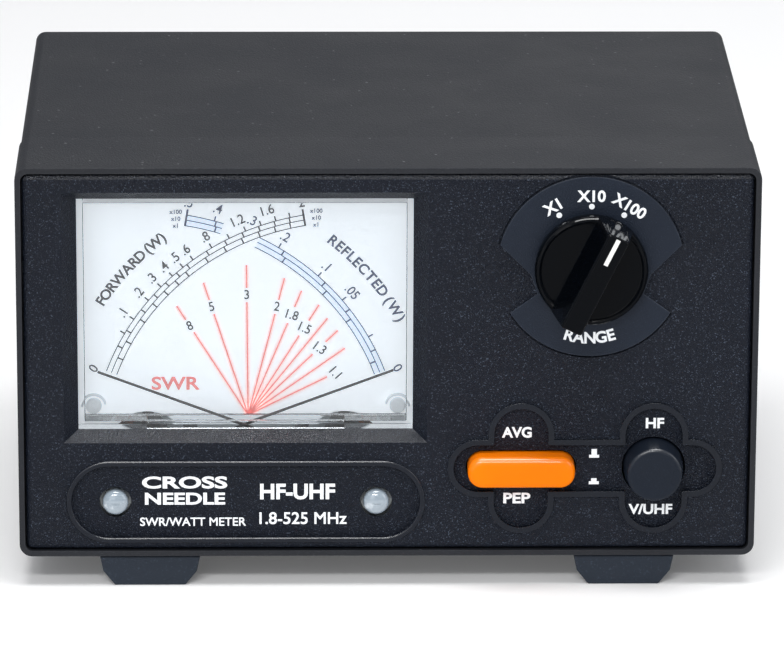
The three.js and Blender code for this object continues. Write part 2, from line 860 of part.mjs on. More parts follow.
function adjuster() {
  const back = clearFrontY + movementPlate + gap;
  const dome = [0, 30, 60, 90].map((degrees) => {
    const turn = THREE.MathUtils.degToRad(degrees);
    const height = (adjusterProud + adjusterShoulder) * Math.cos(turn);
    return [adjusterRadius * Math.sin(turn), adjusterShoulder - height];
  });
  const made = turned(0, 0, [
    ...dome,
    [adjusterRadius, panelThickness],
    [adjusterNeck, panelThickness],
    [adjusterNeck, back],
    [adjusterRadius, back],
    [adjusterRadius, back + adjusterFork],
    [0, back + adjusterFork],
  ], 16);
  return made.add(rod(adjusterPinOut, 0, adjusterPin, back, back + adjusterPinLength, 8));
}

function buildMeter() {
  piece('meter_cover', clearCover(), clearPlastic);
  piece('movement_cover', movementCover(), whitePlastic);
  piece('dial_plate', dial(), whitePlastic);
  const [screwLeft, screwRight] = dialScrewPlaces();
  piece('dial_screw_left', dialScrew(screwLeft), whitePlastic);
  piece('dial_screw_right', dialScrew(screwRight), whitePlastic);
  piece('meter_housing', housing(), whitePlastic);
  const [forwardX, reflectedX] = pivots();
  // Clockwise turns: the forward pointer rests pointing left, the reflected one right.
  const forward = turnedGroup(forwardX, pivotZ, 180 + restAngle);
  const reflected = turnedGroup(reflectedX, pivotZ, -restAngle);
  const halfSweep = pointerSweep / 2;
  piece('forward_needle', pointer(forwardPlane), needleMetal, forward);
  piece('reflected_needle', pointer(reflectedPlane), needleMetal, reflected);
  piece('forward_coil', coil(), copperWire, turnedGroup(forwardX, pivotZ, -halfSweep));
  piece('reflected_coil', coil(), copperWire, turnedGroup(reflectedX, pivotZ, halfSweep));
  piece('forward_magnet', magnet(forwardX), magnetSteel);
  piece('reflected_magnet', magnet(reflectedX), magnetSteel);
  for (const { name, x } of adjusters()) {
    piece(`zero_adjuster_${name}`, adjuster(), pearlPlastic, turnedGroup(x, adjusterZ(), 90));
  }
  const lampZ = meterZ + meterHalfZ + gap;
  const lampY = housingY + lampBoardFromDial;
  const lamps = meterBlock(lampBoardInset, lampY, lampY + lampBoardDepth, lampZ, lampZ + lampBoardSheet);
  piece('lamp_board', lamps, circuitBoard);
}

// ---------------------------------------------------------------- range switch
function rangeBody() {
  const y0 = panelThickness + gap;
  const body = rod(rangeX, rangeZ, switchRadius, y0, y0 + switchDepth, 24);
  const bushing = rod(rangeX, rangeZ, bushingRadius, -bushingProud, y0 + switchDepth / 2);
  return body
    .add(bushing)
    .subtract(rod(rangeX, rangeZ, shaftRadius + gap, -bushingProud - past, y0 + switchDepth - shaftEnd));
}

function rangeNut() {
  const corner = nutAcross / Math.sqrt(3);
  const y1 = -escutcheonProud - gap;
  return rod(rangeX, rangeZ, corner, y1 - nutThickness, y1, 6).subtract(
    rod(rangeX, rangeZ, bushingRadius + gap, y1 - nutThickness - past, y1 + past),
  );
}

// The knob's axis is Y through the group's origin and its grip lies along Z.
function knob() {
  const back = -escutcheonProud - knobGap;
  const face = back - skirtThickness;
  const skirt = turned(0, 0, [
    [0, back],
    [skirtRadius, back],
    [skirtRadius, face + skirtEdge],
    [skirtRadius - skirtEdge, face],
    [0, face],
  ], 36);
  const profile = new THREE.Shape();
  profile.moveTo(-gripBase / 2, face + gripSink);
  profile.lineTo(gripBase / 2, face + gripSink);
  profile.lineTo(gripTop / 2, -knobProud);
  profile.lineTo(-gripTop / 2, -knobProud);
  profile.closePath();
  const length = 2 * skirtRadius;
  const grip = new THREE.ExtrudeGeometry(profile, { depth: length, bevelEnabled: false });
  grip.translate(0, 0, -length / 2);
  const round = rod(0, 0, skirtRadius - gripSetback, -knobProud - past, back, 36);
  const reach = inlayLength + inlayFromTip;
  const inlaySeat = block(
    -inlayWidth / 2 - gap,
    inlayWidth / 2 + gap,
    -knobProud - past,
    -knobProud + inlayDepth + gap,
    skirtRadius - reach - gap,
    skirtRadius - reach + inlayLength + gap,
  );
  return skirt
    .add(solid(grip).intersect(round))
    .subtract(rod(0, 0, skirtRadius - skirtWall, back - skirtHollow, back + past, 32))
    .subtract(rod(0, 0, shaftRadius + gap, -shaftReach - gap, back + past))
    .subtract(inlaySeat);
}

function inlay() {
  const reach = inlayLength + inlayFromTip;
  return block(
    -inlayWidth / 2,
    inlayWidth / 2,
    -knobProud,
    -knobProud + inlayDepth,
    skirtRadius - reach,
    skirtRadius - reach + inlayLength,
  );
}

function buildRangeSwitch() {
  piece('range_switch_body', rangeBody(), switchPlastic);
  piece('range_nut', rangeNut(), nickel);
  const turning = turnedGroup(rangeX, rangeZ, rangePointing);
  piece('range_knob', knob(), knobPlastic, turning);
  piece('range_pointer_line', inlay(), whiteInlay, turning);
  const shaft = rod(0, 0, shaftRadius, -shaftReach, panelThickness + switchDepth - shaftEnd);
  piece('range_shaft', shaft, zincSteel, turning);
}

// ---------------------------------------------------------------- push buttons
function avgCap() {
  const depth = avgProud + panelThickness + buttonRear - avgEdge;
  const outline = capsule(avgX, buttonZ, avgWidth - 2 * avgEdge, avgHeight - 2 * avgEdge);
  const geometry = new THREE.ExtrudeGeometry(outline, {
    depth,
    bevelEnabled: true,
    bevelThickness: avgEdge,
    bevelSize: avgEdge,
    bevelSegments: 3,
    curveSegments: 6,
  });
  geometry.rotateX(Math.PI / 2);
  geometry.translate(0, -avgProud + avgEdge + depth, 0);
  const rearY = panelThickness + buttonRear;
  const reach = avgWidth;
  return solid(geometry).subtract(
    block(avgX - reach, avgX + reach, rearY, rearY + reach, buttonZ - reach, buttonZ + reach),
  );
}

function bandCap() {
  const rearY = panelThickness + buttonRear;
  return turned(bandX, buttonZ, [
    [0, -bandProud],
    [bandFaceRadius - bandEdge, -bandProud],
    [bandFaceRadius - bandEdgeStep, -bandProud + bandEdgeStep],
    [bandFaceRadius, -bandProud + bandEdge],
    [bandRadius, rearY],
    [0, rearY],
  ], 32);
}

function plunger(x) {
  const half = plungerSize / 2;
  const front = panelThickness + buttonRear + gap;
  return block(x - half, x + half, front, switchFront + plungerReach, buttonZ - half, buttonZ + half);
}

function pushSwitch(x) {
  const halfX = pushSwitchWidth / 2;
  const halfZ = pushSwitchHeight / 2;
  const bore = plungerSize / 2 + gap;
  const end = switchFront + pushSwitchDepth;
  const depth = switchFront + plungerReach + buttonTravel + gap;
  return block(x - halfX, x + halfX, switchFront, end, buttonZ - halfZ, buttonZ + halfZ).subtract(
    block(x - bore, x + bore, switchFront - past, depth, buttonZ - bore, buttonZ + bore),
  );
}

function buildButtons() {
  piece('avg_pep_button', avgCap(), orangePlastic);
  piece('avg_pep_plunger', plunger(avgX), whitePlastic);
  piece('avg_pep_switch', pushSwitch(avgX), switchPlastic);
  piece('band_button', bandCap(), buttonPlastic);
  piece('band_plunger', plunger(bandX), whitePlastic);
  piece('band_switch', pushSwitch(bandX), switchPlastic);
  const board = block(
    avgX - boardMargin,
    bandX + boardMargin,
    boardY,
    boardY + boardSheet,
    buttonZ - boardHalfHeight,
    buttonZ + boardHalfHeight,
  );
  piece('switch_board', board, circuitBoard);
}

// ---------------------------------------------------------------- rear connectors and inside
function sockets() {
  return [
    { name: 'hf_input', x: -socketOuter },
    { name: 'hf_antenna', x: -socketInner },
    { name: 'uhf_input', x: socketInner },
    { name: 'uhf_antenna', x: socketOuter },
  ];
}

function socketShell(x) {
  const half = socketFlange / 2;
  const y0 = rear + gap;
  const flange = slab(
    roundedBox(x - half, x + half, socketZ - half, socketZ + half, flangeCorner),
    y0,
    y0 + flangeThickness,
    2,
  );
  const barrel = turned(x, socketZ, [
    [0, y0],
    [barrelRadius, y0],
    [barrelRadius, socketEnd - barrelEdge],
    [barrelRadius - barrelEdge, socketEnd],
    [0, socketEnd],
  ], 24);
  return flange.add(barrel).subtract(rod(x, socketZ, barrelBore, y0 - past, socketEnd + past, 24));
}

function insulator(x) {
  const face = socketEnd - mouthDepth;
  const body = barrelBore - gap;
  return turned(x, socketZ, [
    [contactRadius + gap, rear - neckInside],
    [insulatorNeck, rear - neckInside],
    [insulatorNeck, rear + gap],
    [body, rear + gap],
    [body, face],
    [contactRadius + gap, face],
    [contactRadius + gap, rear - neckInside],
  ]);
}

function contact(x) {
  const face = socketEnd - mouthDepth;
  return turned(x, socketZ, [
    [0, rear - tailInside],
    [contactTail, rear - tailInside],
    [contactTail, rear],
    [contactRadius, rear],
    [contactRadius, face],
    [contactBore, face],
    [contactBore, face - contactDepth],
    [0, face - contactDepth],
  ], 16);
}

function dcJack() {
  const flange = rear + gap;
  const face = flange + flangeThickness;
  const bottom = face - jackHoleDepth;
  return turned(0, jackZ, [
    [0, rear - jackDepth],
    [jackRadius, rear - jackDepth],
    [jackRadius, flange],
    [jackFlange, flange],
    [jackFlange, face],
    [jackBore, face],
    [jackBore, bottom],
    [jackPin, bottom],
    [jackPin, face - jackPinSetback],
    [0, face - jackPinSetback],
  ]);
}

// A sheet box behind a pair of sockets, open towards the rear panel.
function couplerBox(x) {
  const halfX = couplerWidth / 2;
  const halfZ = couplerHeight / 2;
  const y1 = rear - rearSheet - gap;
  const y0 = y1 - couplerDepth;
  const sheet = couplerSheet;
  return block(x - halfX, x + halfX, y0, y1, socketZ - halfZ, socketZ + halfZ).subtract(
    block(
      x - halfX + sheet,
      x + halfX - sheet,
      y0 + sheet,
      y1 + past,
      socketZ - halfZ + sheet,
      socketZ + halfZ - sheet,
    ),
  );
}

function mainBoard() {
  const z = trayTop + gap + postHeight + gap;
  const half = right - mainBoardMargin;
  const front = housingY + housingDepth + mainBoardFromMeter;
  return block(-half, half, front, rear - mainBoardFromRear, z, z + boardSheet);
}

function buildRear() {
  for (const { name, x } of sockets()) {
    piece(`socket_${name}`, socketShell(x), nickel);
    piece(`insulator_${name}`, insulator(x), ptfe);
    piece(`contact_${name}`, contact(x), silverContact);
  }
  piece('hf_coupler_box', couplerBox(-couplerX), zincSteel);
  piece('uhf_coupler_box', couplerBox(couplerX), zincSteel);
  piece('dc_jack', dcJack(), buttonPlastic);
  piece('main_board', mainBoard(), circuitBoard);
}

buildCase();
piece('front_panel', frontPanel(), texturedPlastic);
buildMeter();
buildRangeSwitch();
buildButtons();
buildRear();

// The box runs from the knob's face to the sockets' mouths.
assembly.position.y = -(socketEnd - knobProud) / 2;
const group = new THREE.Group();
group.add(assembly);

export default group;
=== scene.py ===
"""Looks of a cross-needle SWR and power meter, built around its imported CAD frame.

Metres, in the frame's own axes: X runs to the right, Y from the front to the back, Z up from the soles.
"""

import json
import logging
import math
from contextlib import contextmanager
from dataclasses import dataclass, field, replace
from enum import Enum
from typing import Callable, Iterator, Optional, Sequence

import bmesh
import bpy
from mathutils import Matrix, Vector

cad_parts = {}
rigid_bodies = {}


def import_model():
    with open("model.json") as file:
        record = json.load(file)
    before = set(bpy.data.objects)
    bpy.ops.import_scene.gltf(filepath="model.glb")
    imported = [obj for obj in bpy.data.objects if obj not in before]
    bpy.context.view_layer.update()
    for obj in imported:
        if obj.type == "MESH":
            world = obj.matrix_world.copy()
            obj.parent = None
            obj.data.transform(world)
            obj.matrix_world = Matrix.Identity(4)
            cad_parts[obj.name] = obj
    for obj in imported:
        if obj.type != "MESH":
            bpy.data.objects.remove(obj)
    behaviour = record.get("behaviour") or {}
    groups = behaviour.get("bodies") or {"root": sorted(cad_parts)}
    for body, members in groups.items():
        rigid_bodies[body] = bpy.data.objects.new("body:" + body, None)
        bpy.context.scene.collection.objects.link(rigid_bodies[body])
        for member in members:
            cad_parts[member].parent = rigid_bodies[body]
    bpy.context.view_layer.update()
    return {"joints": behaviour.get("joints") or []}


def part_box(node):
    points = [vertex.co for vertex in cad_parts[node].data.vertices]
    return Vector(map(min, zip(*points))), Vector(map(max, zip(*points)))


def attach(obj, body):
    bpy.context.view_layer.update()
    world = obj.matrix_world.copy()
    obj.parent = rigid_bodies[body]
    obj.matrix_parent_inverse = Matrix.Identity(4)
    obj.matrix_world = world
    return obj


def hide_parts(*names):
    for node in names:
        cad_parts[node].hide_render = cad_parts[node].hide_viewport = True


LOG = logging.getLogger("swr_meter")
MM = 0.001
FORWARD = Vector((0, -1, 0))
BACKWARD = Vector((0, 1, 0))
UPWARD = Vector((0, 0, 1))
FACING_FRONT = math.radians(90)
SMOOTH_ANGLE = math.radians(32)

Object = bpy.types.Object
Socket = bpy.types.NodeSocket
Pair = tuple[float, float]
Levels = tuple[int, int, int]


def linear(level: int) -> float:
    """The linear strength of an 8-bit display level."""
    share = level / 255
    return share / 12.92 if share <= 0.04045 else ((share + 0.055) / 1.055) ** 2.4


def tint(colour: Levels, share: float = 1.0, step: int = 0) -> tuple[float, ...]:
    """The linear colour, with alpha, of a display colour scaled by a share and raised by a step."""
    return (*(linear(min(255, int(level * share) + step)) for level in colour), 1.0)


# ------------------------------------------------------------------ modelling
class Merge(Enum):
    """How one solid joins another."""

    CUT = "DIFFERENCE"
    ADD = "UNION"
    KEEP = "INTERSECT"


def only(*pieces: Object) -> None:
    """Selects these objects and nothing else, the last one active."""
    bpy.ops.object.select_all(action="DESELECT")
    for piece in pieces:
        piece.select_set(True)
    if pieces:
        bpy.context.view_layer.objects.active = pieces[-1]


@contextmanager
def editing(piece: Object, mode: str = "FACE") -> Iterator[None]:
    """Opens a piece in edit mode with nothing selected.

    Args:
        piece: the piece to edit.
        mode: what is selected there, VERT, EDGE or FACE.
    """
    only(piece)
    bpy.ops.object.mode_set(mode="EDIT")
    bpy.ops.mesh.select_mode(type=mode)
    bpy.ops.mesh.select_all(action="DESELECT")
    yield
    bpy.ops.object.mode_set(mode="OBJECT")


def settled(name: str) -> Object:
    """Names the active object and puts its place into its mesh.

    Returns:
        The object, at the origin, unturned and unscaled.
    """
    piece = bpy.context.object
    piece.name = name
    piece.data.name = name
    only(piece)
    bpy.ops.object.transform_apply(location=True, rotation=True, scale=True)
    return piece


def pick_faces(piece: Object, test: Callable[[Vector, Vector], bool]) -> None:
    """Selects the faces whose middle and normal pass a test, in edit mode.

    Args:
        piece: the piece.
        test: says which ones to select.
    """
    mesh = bmesh.from_edit_mesh(piece.data)
    mesh.normal_update()
    for face in mesh.faces:
        face.select_set(test(face.calc_center_median(), face.normal))
    mesh.select_flush_mode()
    bmesh.update_edit_mesh(piece.data)


def pick_edges(piece: Object, test: Callable[[Vector, Vector], bool]) -> None:
    """Selects the edges whose middle and direction pass a test, in edit mode.

    Args:
        piece: the piece.
        test: says which ones to select.
    """
    mesh = bmesh.from_edit_mesh(piece.data)
    for edge in mesh.edges:
        start, end = (vertex.co for vertex in edge.verts)
        edge.select_set(test((start + end) / 2, (end - start).normalized()))
    mesh.select_flush_mode()
    bmesh.update_edit_mesh(piece.data)


def faces_out(piece: Object) -> None:
    """Turns all faces of a closed piece outwards."""
    with editing(piece):
        bpy.ops.mesh.select_all(action="SELECT")
        bpy.ops.mesh.normals_make_consistent(inside=False)


def block(name: str, low: Sequence[float], high: Sequence[float]) -> Object:
    """A box between two corners."""
    only()
    low, high = Vector(low), Vector(high)
    bpy.ops.mesh.primitive_cube_add(size=1, location=(low + high) / 2, scale=high - low)
    return settled(name)


def rounded_block(name: str, low: Sequence[float], high: Sequence[float], radius: float,
                  steps: int = 8, along: Vector = BACKWARD) -> Object:
    """A box whose four edges along one axis are rounded.

    Args:
        name: the piece's name.
        low: its lowest corner.
        high: its highest corner.
        radius: the rounding's radius.
        steps: segments in each rounding.
        along: the axis that the rounded edges follow.

    Returns:
        The box.
    """
    piece = block(name, low, high)
    with editing(piece, "EDGE"):
        pick_edges(piece, lambda _, way: abs(way.dot(along)) > 0.99)
        bpy.ops.mesh.bevel(offset=radius, segments=steps, affect="EDGES")
    return piece


def capsule(name: str, centre: Vector, width: float, height: float, low: float, high: float) -> Object:
    """An upright plate with full round ends on its short sides, from one Y to another.

    Args:
        name: the new piece's name.
        centre: the plate's centre, in X and Z.
        width: its width.
        height: its height.
        low: its front Y.
        high: its rear Y.

    Returns:
        The plate.
    """
    size = Vector((width, 0, height)) / 2
    round_end = min(width, height) / 2 - 0.01 * MM
    return rounded_block(
        name,
        (centre.x - size.x, low, centre.z - size.z),
        (centre.x + size.x, high, centre.z + size.z),
        round_end,
        steps=24,
    )


def turned(name: str, foot: Vector, along: Vector, steps: Sequence[Pair],
           sides: int = 64) -> Object:
    """A piece turned about an axis: a disc that is extruded and scaled from step to step.

    Args:
        name: the piece's name.
        foot: the point on the axis that distances are measured from.
        along: the axis.
        steps: radius and distance along the axis of each ring, from the first cap to the last.
        sides: faces round the axis.

    Returns:
        The closed piece.
    """
    only()
    (radius, distance), *rest = steps
    turn = along.to_track_quat("Z", "Y").to_euler()
    bpy.ops.mesh.primitive_circle_add(
        vertices=sides, radius=radius, fill_type="NGON", location=foot + along * distance, rotation=turn
    )
    piece = settled(name)
    with editing(piece):
        bpy.ops.mesh.select_all(action="SELECT")
        for next_radius, next_distance in rest:
            step = along * (next_distance - distance)
            bpy.ops.mesh.extrude_region_move(TRANSFORM_OT_translate={"value": step})
            share = next_radius / radius
            bpy.ops.transform.resize(
                value=(share, share, share), center_override=foot + along * next_distance
            )
            radius, distance = next_radius, next_distance
    faces_out(piece)
    return piece


def drilled(name: str, foot: Vector, along: Vector, radius: float, length: float,
            sides: int = 64) -> Object:
    """A plain round bar from a point along an axis."""
    return turned(name, foot, along, [(radius, 0), (radius, length)], sides)


def welded(piece: Object, distance: float, flat: float = 0.0) -> None:
    """Merges a piece's points that lie within a distance, and its faces flat within some degrees."""
    with editing(piece):
        bpy.ops.mesh.select_all(action="SELECT")
        bpy.ops.mesh.remove_doubles(threshold=distance)
        if flat:
            bpy.ops.mesh.dissolve_limited(angle_limit=math.radians(flat))


def prism(name: str, corners: Sequence[Pair], low: float, high: float) -> Object:
    """An upright plate with the given corners in X and Z, from one Y to another.

    Args:
        name: the new piece's name.
        corners: the corners in order.
        low: its front Y.
        high: its rear Y.

    Returns:
        The closed plate.
    """
    only()
    bpy.ops.mesh.primitive_circle_add(
        vertices=len(corners), radius=MM, fill_type="NGON", location=(0, low, 0),
        rotation=(FACING_FRONT, 0, 0),
    )
    piece = settled(name)
    with editing(piece, "VERT"):
        for index, (x, z) in enumerate(corners):
            bpy.ops.mesh.select_all(action="DESELECT")
            mesh = bmesh.from_edit_mesh(piece.data)
            mesh.verts.ensure_lookup_table()
            corner = mesh.verts[index]
            corner.select_set(True)
            bmesh.update_edit_mesh(piece.data)
            bpy.ops.transform.translate(value=Vector((x, low, z)) - corner.co)
        bpy.ops.mesh.select_all(action="SELECT")
        bpy.ops.mesh.extrude_region_move(TRANSFORM_OT_translate={"value": (0, high - low, 0)})
    faces_out(piece)
    return piece


def swept(name: str, centre: Vector, radii: Pair, depth: Pair,
          angles: Pair, steps: int = 48) -> Object:
    """A bar of rectangular section bent along an arc about the Y axis.

    Args:
        name: the piece's name.
        centre: a point on the arc's axis.
        radii: inner and outer radius.
        depth: front and rear Y.
        angles: start and end in degrees, anticlockwise from the right as seen from the front.
        steps: segments along the arc.

    Returns:
        The closed bar.
    """
    only()
    inner, outer = radii
    front, rear = depth
    angles = sorted(angles)
    start = math.radians(angles[0])
    middle = (inner + outer) / 2
    place = Vector((
        centre.x + middle * math.cos(start), (front + rear) / 2, centre.z + middle * math.sin(start)
    ))
    bpy.ops.mesh.primitive_plane_add(size=1, location=place, rotation=(0, -start, 0))
    bpy.context.object.scale = (outer - inner, rear - front, 1)
    piece = settled(name)
    with editing(piece):
        bpy.ops.mesh.select_all(action="SELECT")
        bpy.ops.mesh.spin(
            steps=steps, angle=math.radians(angles[1] - angles[0]), center=centre, axis=BACKWARD
        )
        bpy.ops.mesh.select_all(action="SELECT")
        bpy.ops.mesh.remove_doubles(threshold=0.001 * MM)
    faces_out(piece)
    return piece


def merge(piece: Object, other: Object, how: Merge) -> Object:
    """Cuts, adds or keeps what another solid covers; the other solid is used up.

    Args:
        piece: the piece.
        other: the solid that is used up.
        how: how they join.

    Returns:
        The piece.
    """
    only(piece)
    bpy.ops.object.modifier_add(type="BOOLEAN")
    modifier = piece.modifiers[-1]
    modifier.operation = how.value
    modifier.solver = "EXACT"
    modifier.object = other
    bpy.ops.object.modifier_apply(modifier=modifier.name)
    bpy.data.objects.remove(other)
    return piece


def joined(name: str, pieces: Sequence[Object]) -> Object:
    """Several pieces as one object that keeps each of their shapes."""
    only(*pieces)
    if len(pieces) > 1:
        bpy.ops.object.join()
    return settled(name)


def softened(piece: Object, width: float, steps: int = 2, angle: float = 30) -> Object:
    """Rounds every edge sharper than an angle and shades the piece smooth.

    Args:
        piece: the piece.
        width: the rounding's width.
        steps: segments in each rounding.
        angle: the least turn of a rounded edge, in degrees.

    Returns:
        The piece.
    """
    only(piece)
    bpy.ops.object.modifier_add(type="BEVEL")
    modifier = piece.modifiers[-1]
    modifier.width = width
    modifier.segments = steps
    modifier.limit_method = "ANGLE"
    modifier.angle_limit = math.radians(angle)
    bpy.ops.object.modifier_apply(modifier=modifier.name)
    return smooth(piece)


def smooth(piece: Object) -> Object:
    """Shades a piece smooth, apart from its sharp edges, with its broad faces kept flat.

    Args:
        piece: the piece.

    Returns:
        The piece.
    """
    only(piece)
    bpy.ops.object.shade_smooth_by_angle(angle=SMOOTH_ANGLE)
    bpy.ops.object.modifier_add(type="WEIGHTED_NORMAL")
    modifier = piece.modifiers[-1]
    modifier.keep_sharp = True
    bpy.ops.object.modifier_apply(modifier=modifier.name)
    return piece


def refined(name: str, node: str, width: float, steps: int = 2) -> Object:
    """A merged copy of a CAD node's shape with its edges rounded.

    Args:
        name: the new piece's name.
        node: the CAD node.
        width: the rounding's width.
        steps: segments in each rounding.

    Returns:
        The new piece.
    """
    source = bpy.data.objects[node]
    mesh = source.data.copy()
    mesh.materials.clear()
    piece = bpy.data.objects.new(name, mesh)
    bpy.context.scene.collection.objects.link(piece)
    if mesh.has_custom_normals:
        only(piece)
        bpy.ops.mesh.customdata_custom_splitnormals_clear()
    welded(piece, 0.002 * MM, 1)
    return softened(piece, width, steps)


def copied(piece: Object, name: str, shift: Sequence[float]) -> Object:
    """A copy of a piece with its own mesh, moved by a shift that goes into that mesh."""
    only(piece)
    bpy.ops.object.duplicate()
    bpy.context.object.location = shift
    return settled(name)


# ------------------------------------------------------------------ finishes
class Tree:
    """Short ways to add and join the nodes of one node tree."""

    def __init__(self, tree: bpy.types.NodeTree) -> None:
        """Keeps the tree that nodes are added to."""
        self.tree = tree

    def add(self, kind: str, inputs: Optional[dict] = None, **settings: object) -> bpy.types.Node:
        """Adds a node.

        Args:
            kind: the node's type, without its ShaderNode prefix.
            inputs: a value, or a socket to link from, for each input by name or number.
            settings: the node's own properties.

        Returns:
            The new node.
        """
        node = self.tree.nodes.new("ShaderNode" + kind)
        for key, value in settings.items():
            setattr(node, key, value)
        self.feed(node, inputs or {})
        return node

    def feed(self, node: bpy.types.Node, inputs: dict) -> None:
        """Sets or links a node's inputs."""
        for key, value in inputs.items():
            if isinstance(value, Socket):
                self.tree.links.new(value, node.inputs[key])
            else:
                node.inputs[key].default_value = value

    def place(self) -> Socket:
        """The object's own coordinates."""
        return self.add("TexCoord").outputs["Object"]

    def upward(self) -> Socket:
        """How far the surface looks up, from -1 to 1."""
        return self.add("SeparateXYZ", {0: self.add("NewGeometry").outputs["Normal"]}).outputs["Z"]

    def spots(self, scale: object, detail: float = 2) -> Socket:
        """Noise on the object's own coordinates, from 0 to 1."""
        noise = self.add("TexNoise", {"Vector": self.place(), "Scale": scale, "Detail": detail})
        return noise.outputs["Fac"]

    def math(self, operation: str, first: object, second: object) -> Socket:
        """The result of one operation on two values."""
        return self.add("Math", {0: first, 1: second}, operation=operation).outputs[0]

    def bumped(self, height: Socket, distance: float, strength: float = 1.0) -> Socket:
        """The normal of a surface with a relief of some height."""
        made = self.add("Bump", {"Height": height, "Distance": distance, "Strength": strength})
        return made.outputs["Normal"]

    def between(self, value: object, low: float, high: float, to_low: float = 0,
                to_high: float = 1) -> Socket:
        """A value mapped from one range to another and held inside it."""
        made = self.add("MapRange", {
            "Value": value, "From Min": low, "From Max": high, "To Min": to_low, "To Max": to_high,
        })
        return made.outputs["Result"]

    def mixed(self, share: object, first: object, second: object) -> Socket:
        """One colour turning into another with a share."""
        mix = self.add("Mix", data_type="RGBA")
        self.feed(mix, {0: share, 6: first, 7: second})
        return mix.outputs[2]


@dataclass(frozen=True)
class Effect:
    """A node group used by more than one finish."""

    name: str
    inputs: tuple[tuple[str, str], ...]
    outputs: tuple[tuple[str, str], ...]

    def group(self) -> bpy.types.NodeTree:
        """The group, built the first time that it is asked for.

        Returns:
            The node group.
        """
        made = bpy.data.node_groups.get(self.name)
        if made is None:
            made = bpy.data.node_groups.new(self.name, "ShaderNodeTree")
            for socket, kind in self.inputs:
                made.interface.new_socket(socket, in_out="INPUT", socket_type="NodeSocket" + kind)
            for socket, kind in self.outputs:
                made.interface.new_socket(socket, in_out="OUTPUT", socket_type="NodeSocket" + kind)
            source = made.nodes.new("NodeGroupInput").outputs
            target = made.nodes.new("NodeGroupOutput")
            self.fill(Tree(made), source, target)
        return made

    def fill(self, tree: Tree, source: bpy.types.NodeOutputs, target: bpy.types.Node) -> None:
        """Builds the nodes between the group's inputs and outputs."""
        raise NotImplementedError

    def place(self, tree: Tree, inputs: dict) -> bpy.types.NodeOutputs:
        """Adds the group to a material and feeds it."""
        node = tree.add("Group", node_tree=self.group())
        tree.feed(node, inputs)
        return node.outputs


class Grain(Effect):
    """Moulded or painted grain: coarse bumps with fine ones on them, and light specks on their tops that
    are partly grain and partly painted glints of the sparkling texture.
    """

    def fill(self, tree: Tree, source: bpy.types.NodeOutputs, target: bpy.types.Node) -> None:
        """Mixes a coarse and a fine noise into a height, a colour and a roughness.

        Args:
            tree: the node tree to build in.
            source: the group's inputs.
            target: the group's output node.
        """
        coarse = tree.spots(source["Scale"], 3)
        cells = tree.add("TexVoronoi", {"Vector": tree.place(), "Scale": source["Scale"]})
        broad = tree.spots(45, 3)
        height = tree.math("SUBTRACT", coarse, cells.outputs["Distance"])
        # Painted glints: light specks on the bump tops, partly grain colour and partly sparkle painted
        # in.
        share = tree.math("MULTIPLY", tree.between(coarse, 0.60, 0.72), source["FleckAndGlintShare"])
        shaded = tree.mixed(share, source["Base"], source["FleckAndGlint"])
        drift = tree.between(broad, 0.3, 0.7, 0.92, 1.08)
        scaled = tree.add("VectorMath", {0: shaded, "Scale": drift}, operation="SCALE").outputs[0]
        spread = tree.math("MULTIPLY", tree.between(broad, 0.3, 0.7, -1, 1), source["Spread"])
        total = tree.math("ADD", spread, source["Roughness"])
        tree.feed(target, {"Color": scaled, "Roughness": total, "Height": height})


class EdgeWearAndHighlight(Effect):
    """Edges made lighter, partly as rubbing from handling and partly as a painted highlight along them,
    more in some places than in others.
    """

    def fill(self, tree: Tree, source: bpy.types.NodeOutputs, target: bpy.types.Node) -> None:
        """Compares the surface's normal with a rounded one and breaks the mask with noise.

        Args:
            tree: the node tree to build in.
            source: the group's inputs.
            target: the group's output node.
        """
        rounded = tree.add("Bevel", {"Radius": source["Width"]}, samples=4).outputs["Normal"]
        flat = tree.add("NewGeometry").outputs["Normal"]
        dot = tree.add("VectorMath", {0: rounded, 1: flat}, operation="DOT_PRODUCT").outputs["Value"]
        # Lighter edges: partly rubbing, partly a painted highlight.
        edge = tree.between(dot, 0.995, 0.9)
        broken = tree.between(tree.spots(260), 0.35, 0.7)
        share = tree.math("MULTIPLY", tree.math("MULTIPLY", edge, broken), source["Amount"])
        shaded = tree.mixed(share, source["Base"], source["WornAndHighlight"])
        tree.feed(target, {"Color": shaded, "Mask": share})


class Dust(Effect):
    """Fine specks of dust that lie on faces that look up."""

    def fill(self, tree: Tree, source: bpy.types.NodeOutputs, target: bpy.types.Node) -> None:
        """Keeps small separate specks, only where the normal points up.

        Args:
            tree: the node tree to build in.
            source: the group's inputs.
            target: the group's output node.
        """
        lying = tree.between(tree.upward(), 0.6, 0.95)
        cells = tree.add("TexVoronoi", {"Vector": tree.place(), "Scale": 420}).outputs["Distance"]
        specks = tree.between(cells, 0.16, 0.08)
        few = tree.between(tree.spots(900, 1), 0.58, 0.62)
        held = tree.math("MULTIPLY", tree.math("MULTIPLY", specks, few), lying)
        share = tree.math("MULTIPLY", held, source["Amount"])
        tree.feed(target, {"Color": tree.mixed(share, source["Base"], source["Speck"])})


GRAIN = Grain(
    "grain",
    (("Base", "Color"), ("FleckAndGlint", "Color"), ("FleckAndGlintShare", "Float"), ("Scale", "Float"),
     ("Roughness", "Float"), ("Spread", "Float")),
    (("Color", "Color"), ("Roughness", "Float"), ("Height", "Float")),
)
EDGE_WEAR_AND_HIGHLIGHT = EdgeWearAndHighlight(
    "edge_wear_and_painted_highlight",
    (("Base", "Color"), ("WornAndHighlight", "Color"), ("Width", "Float"), ("Amount", "Float")),
    (("Color", "Color"), ("Mask", "Float")),
)
# Lighter edge colour and width, for rubbed edges and painted edge highlights alike.
WORN_AND_HIGHLIGHT_STEP = 45
WORN_AND_HIGHLIGHT_WIDTH = 0.35 * MM
DUST_COLOUR = (150, 152, 155)
DUST = Dust("dust", (("Base", "Color"), ("Speck", "Color"), ("Amount", "Float")), (("Color", "Color"),))


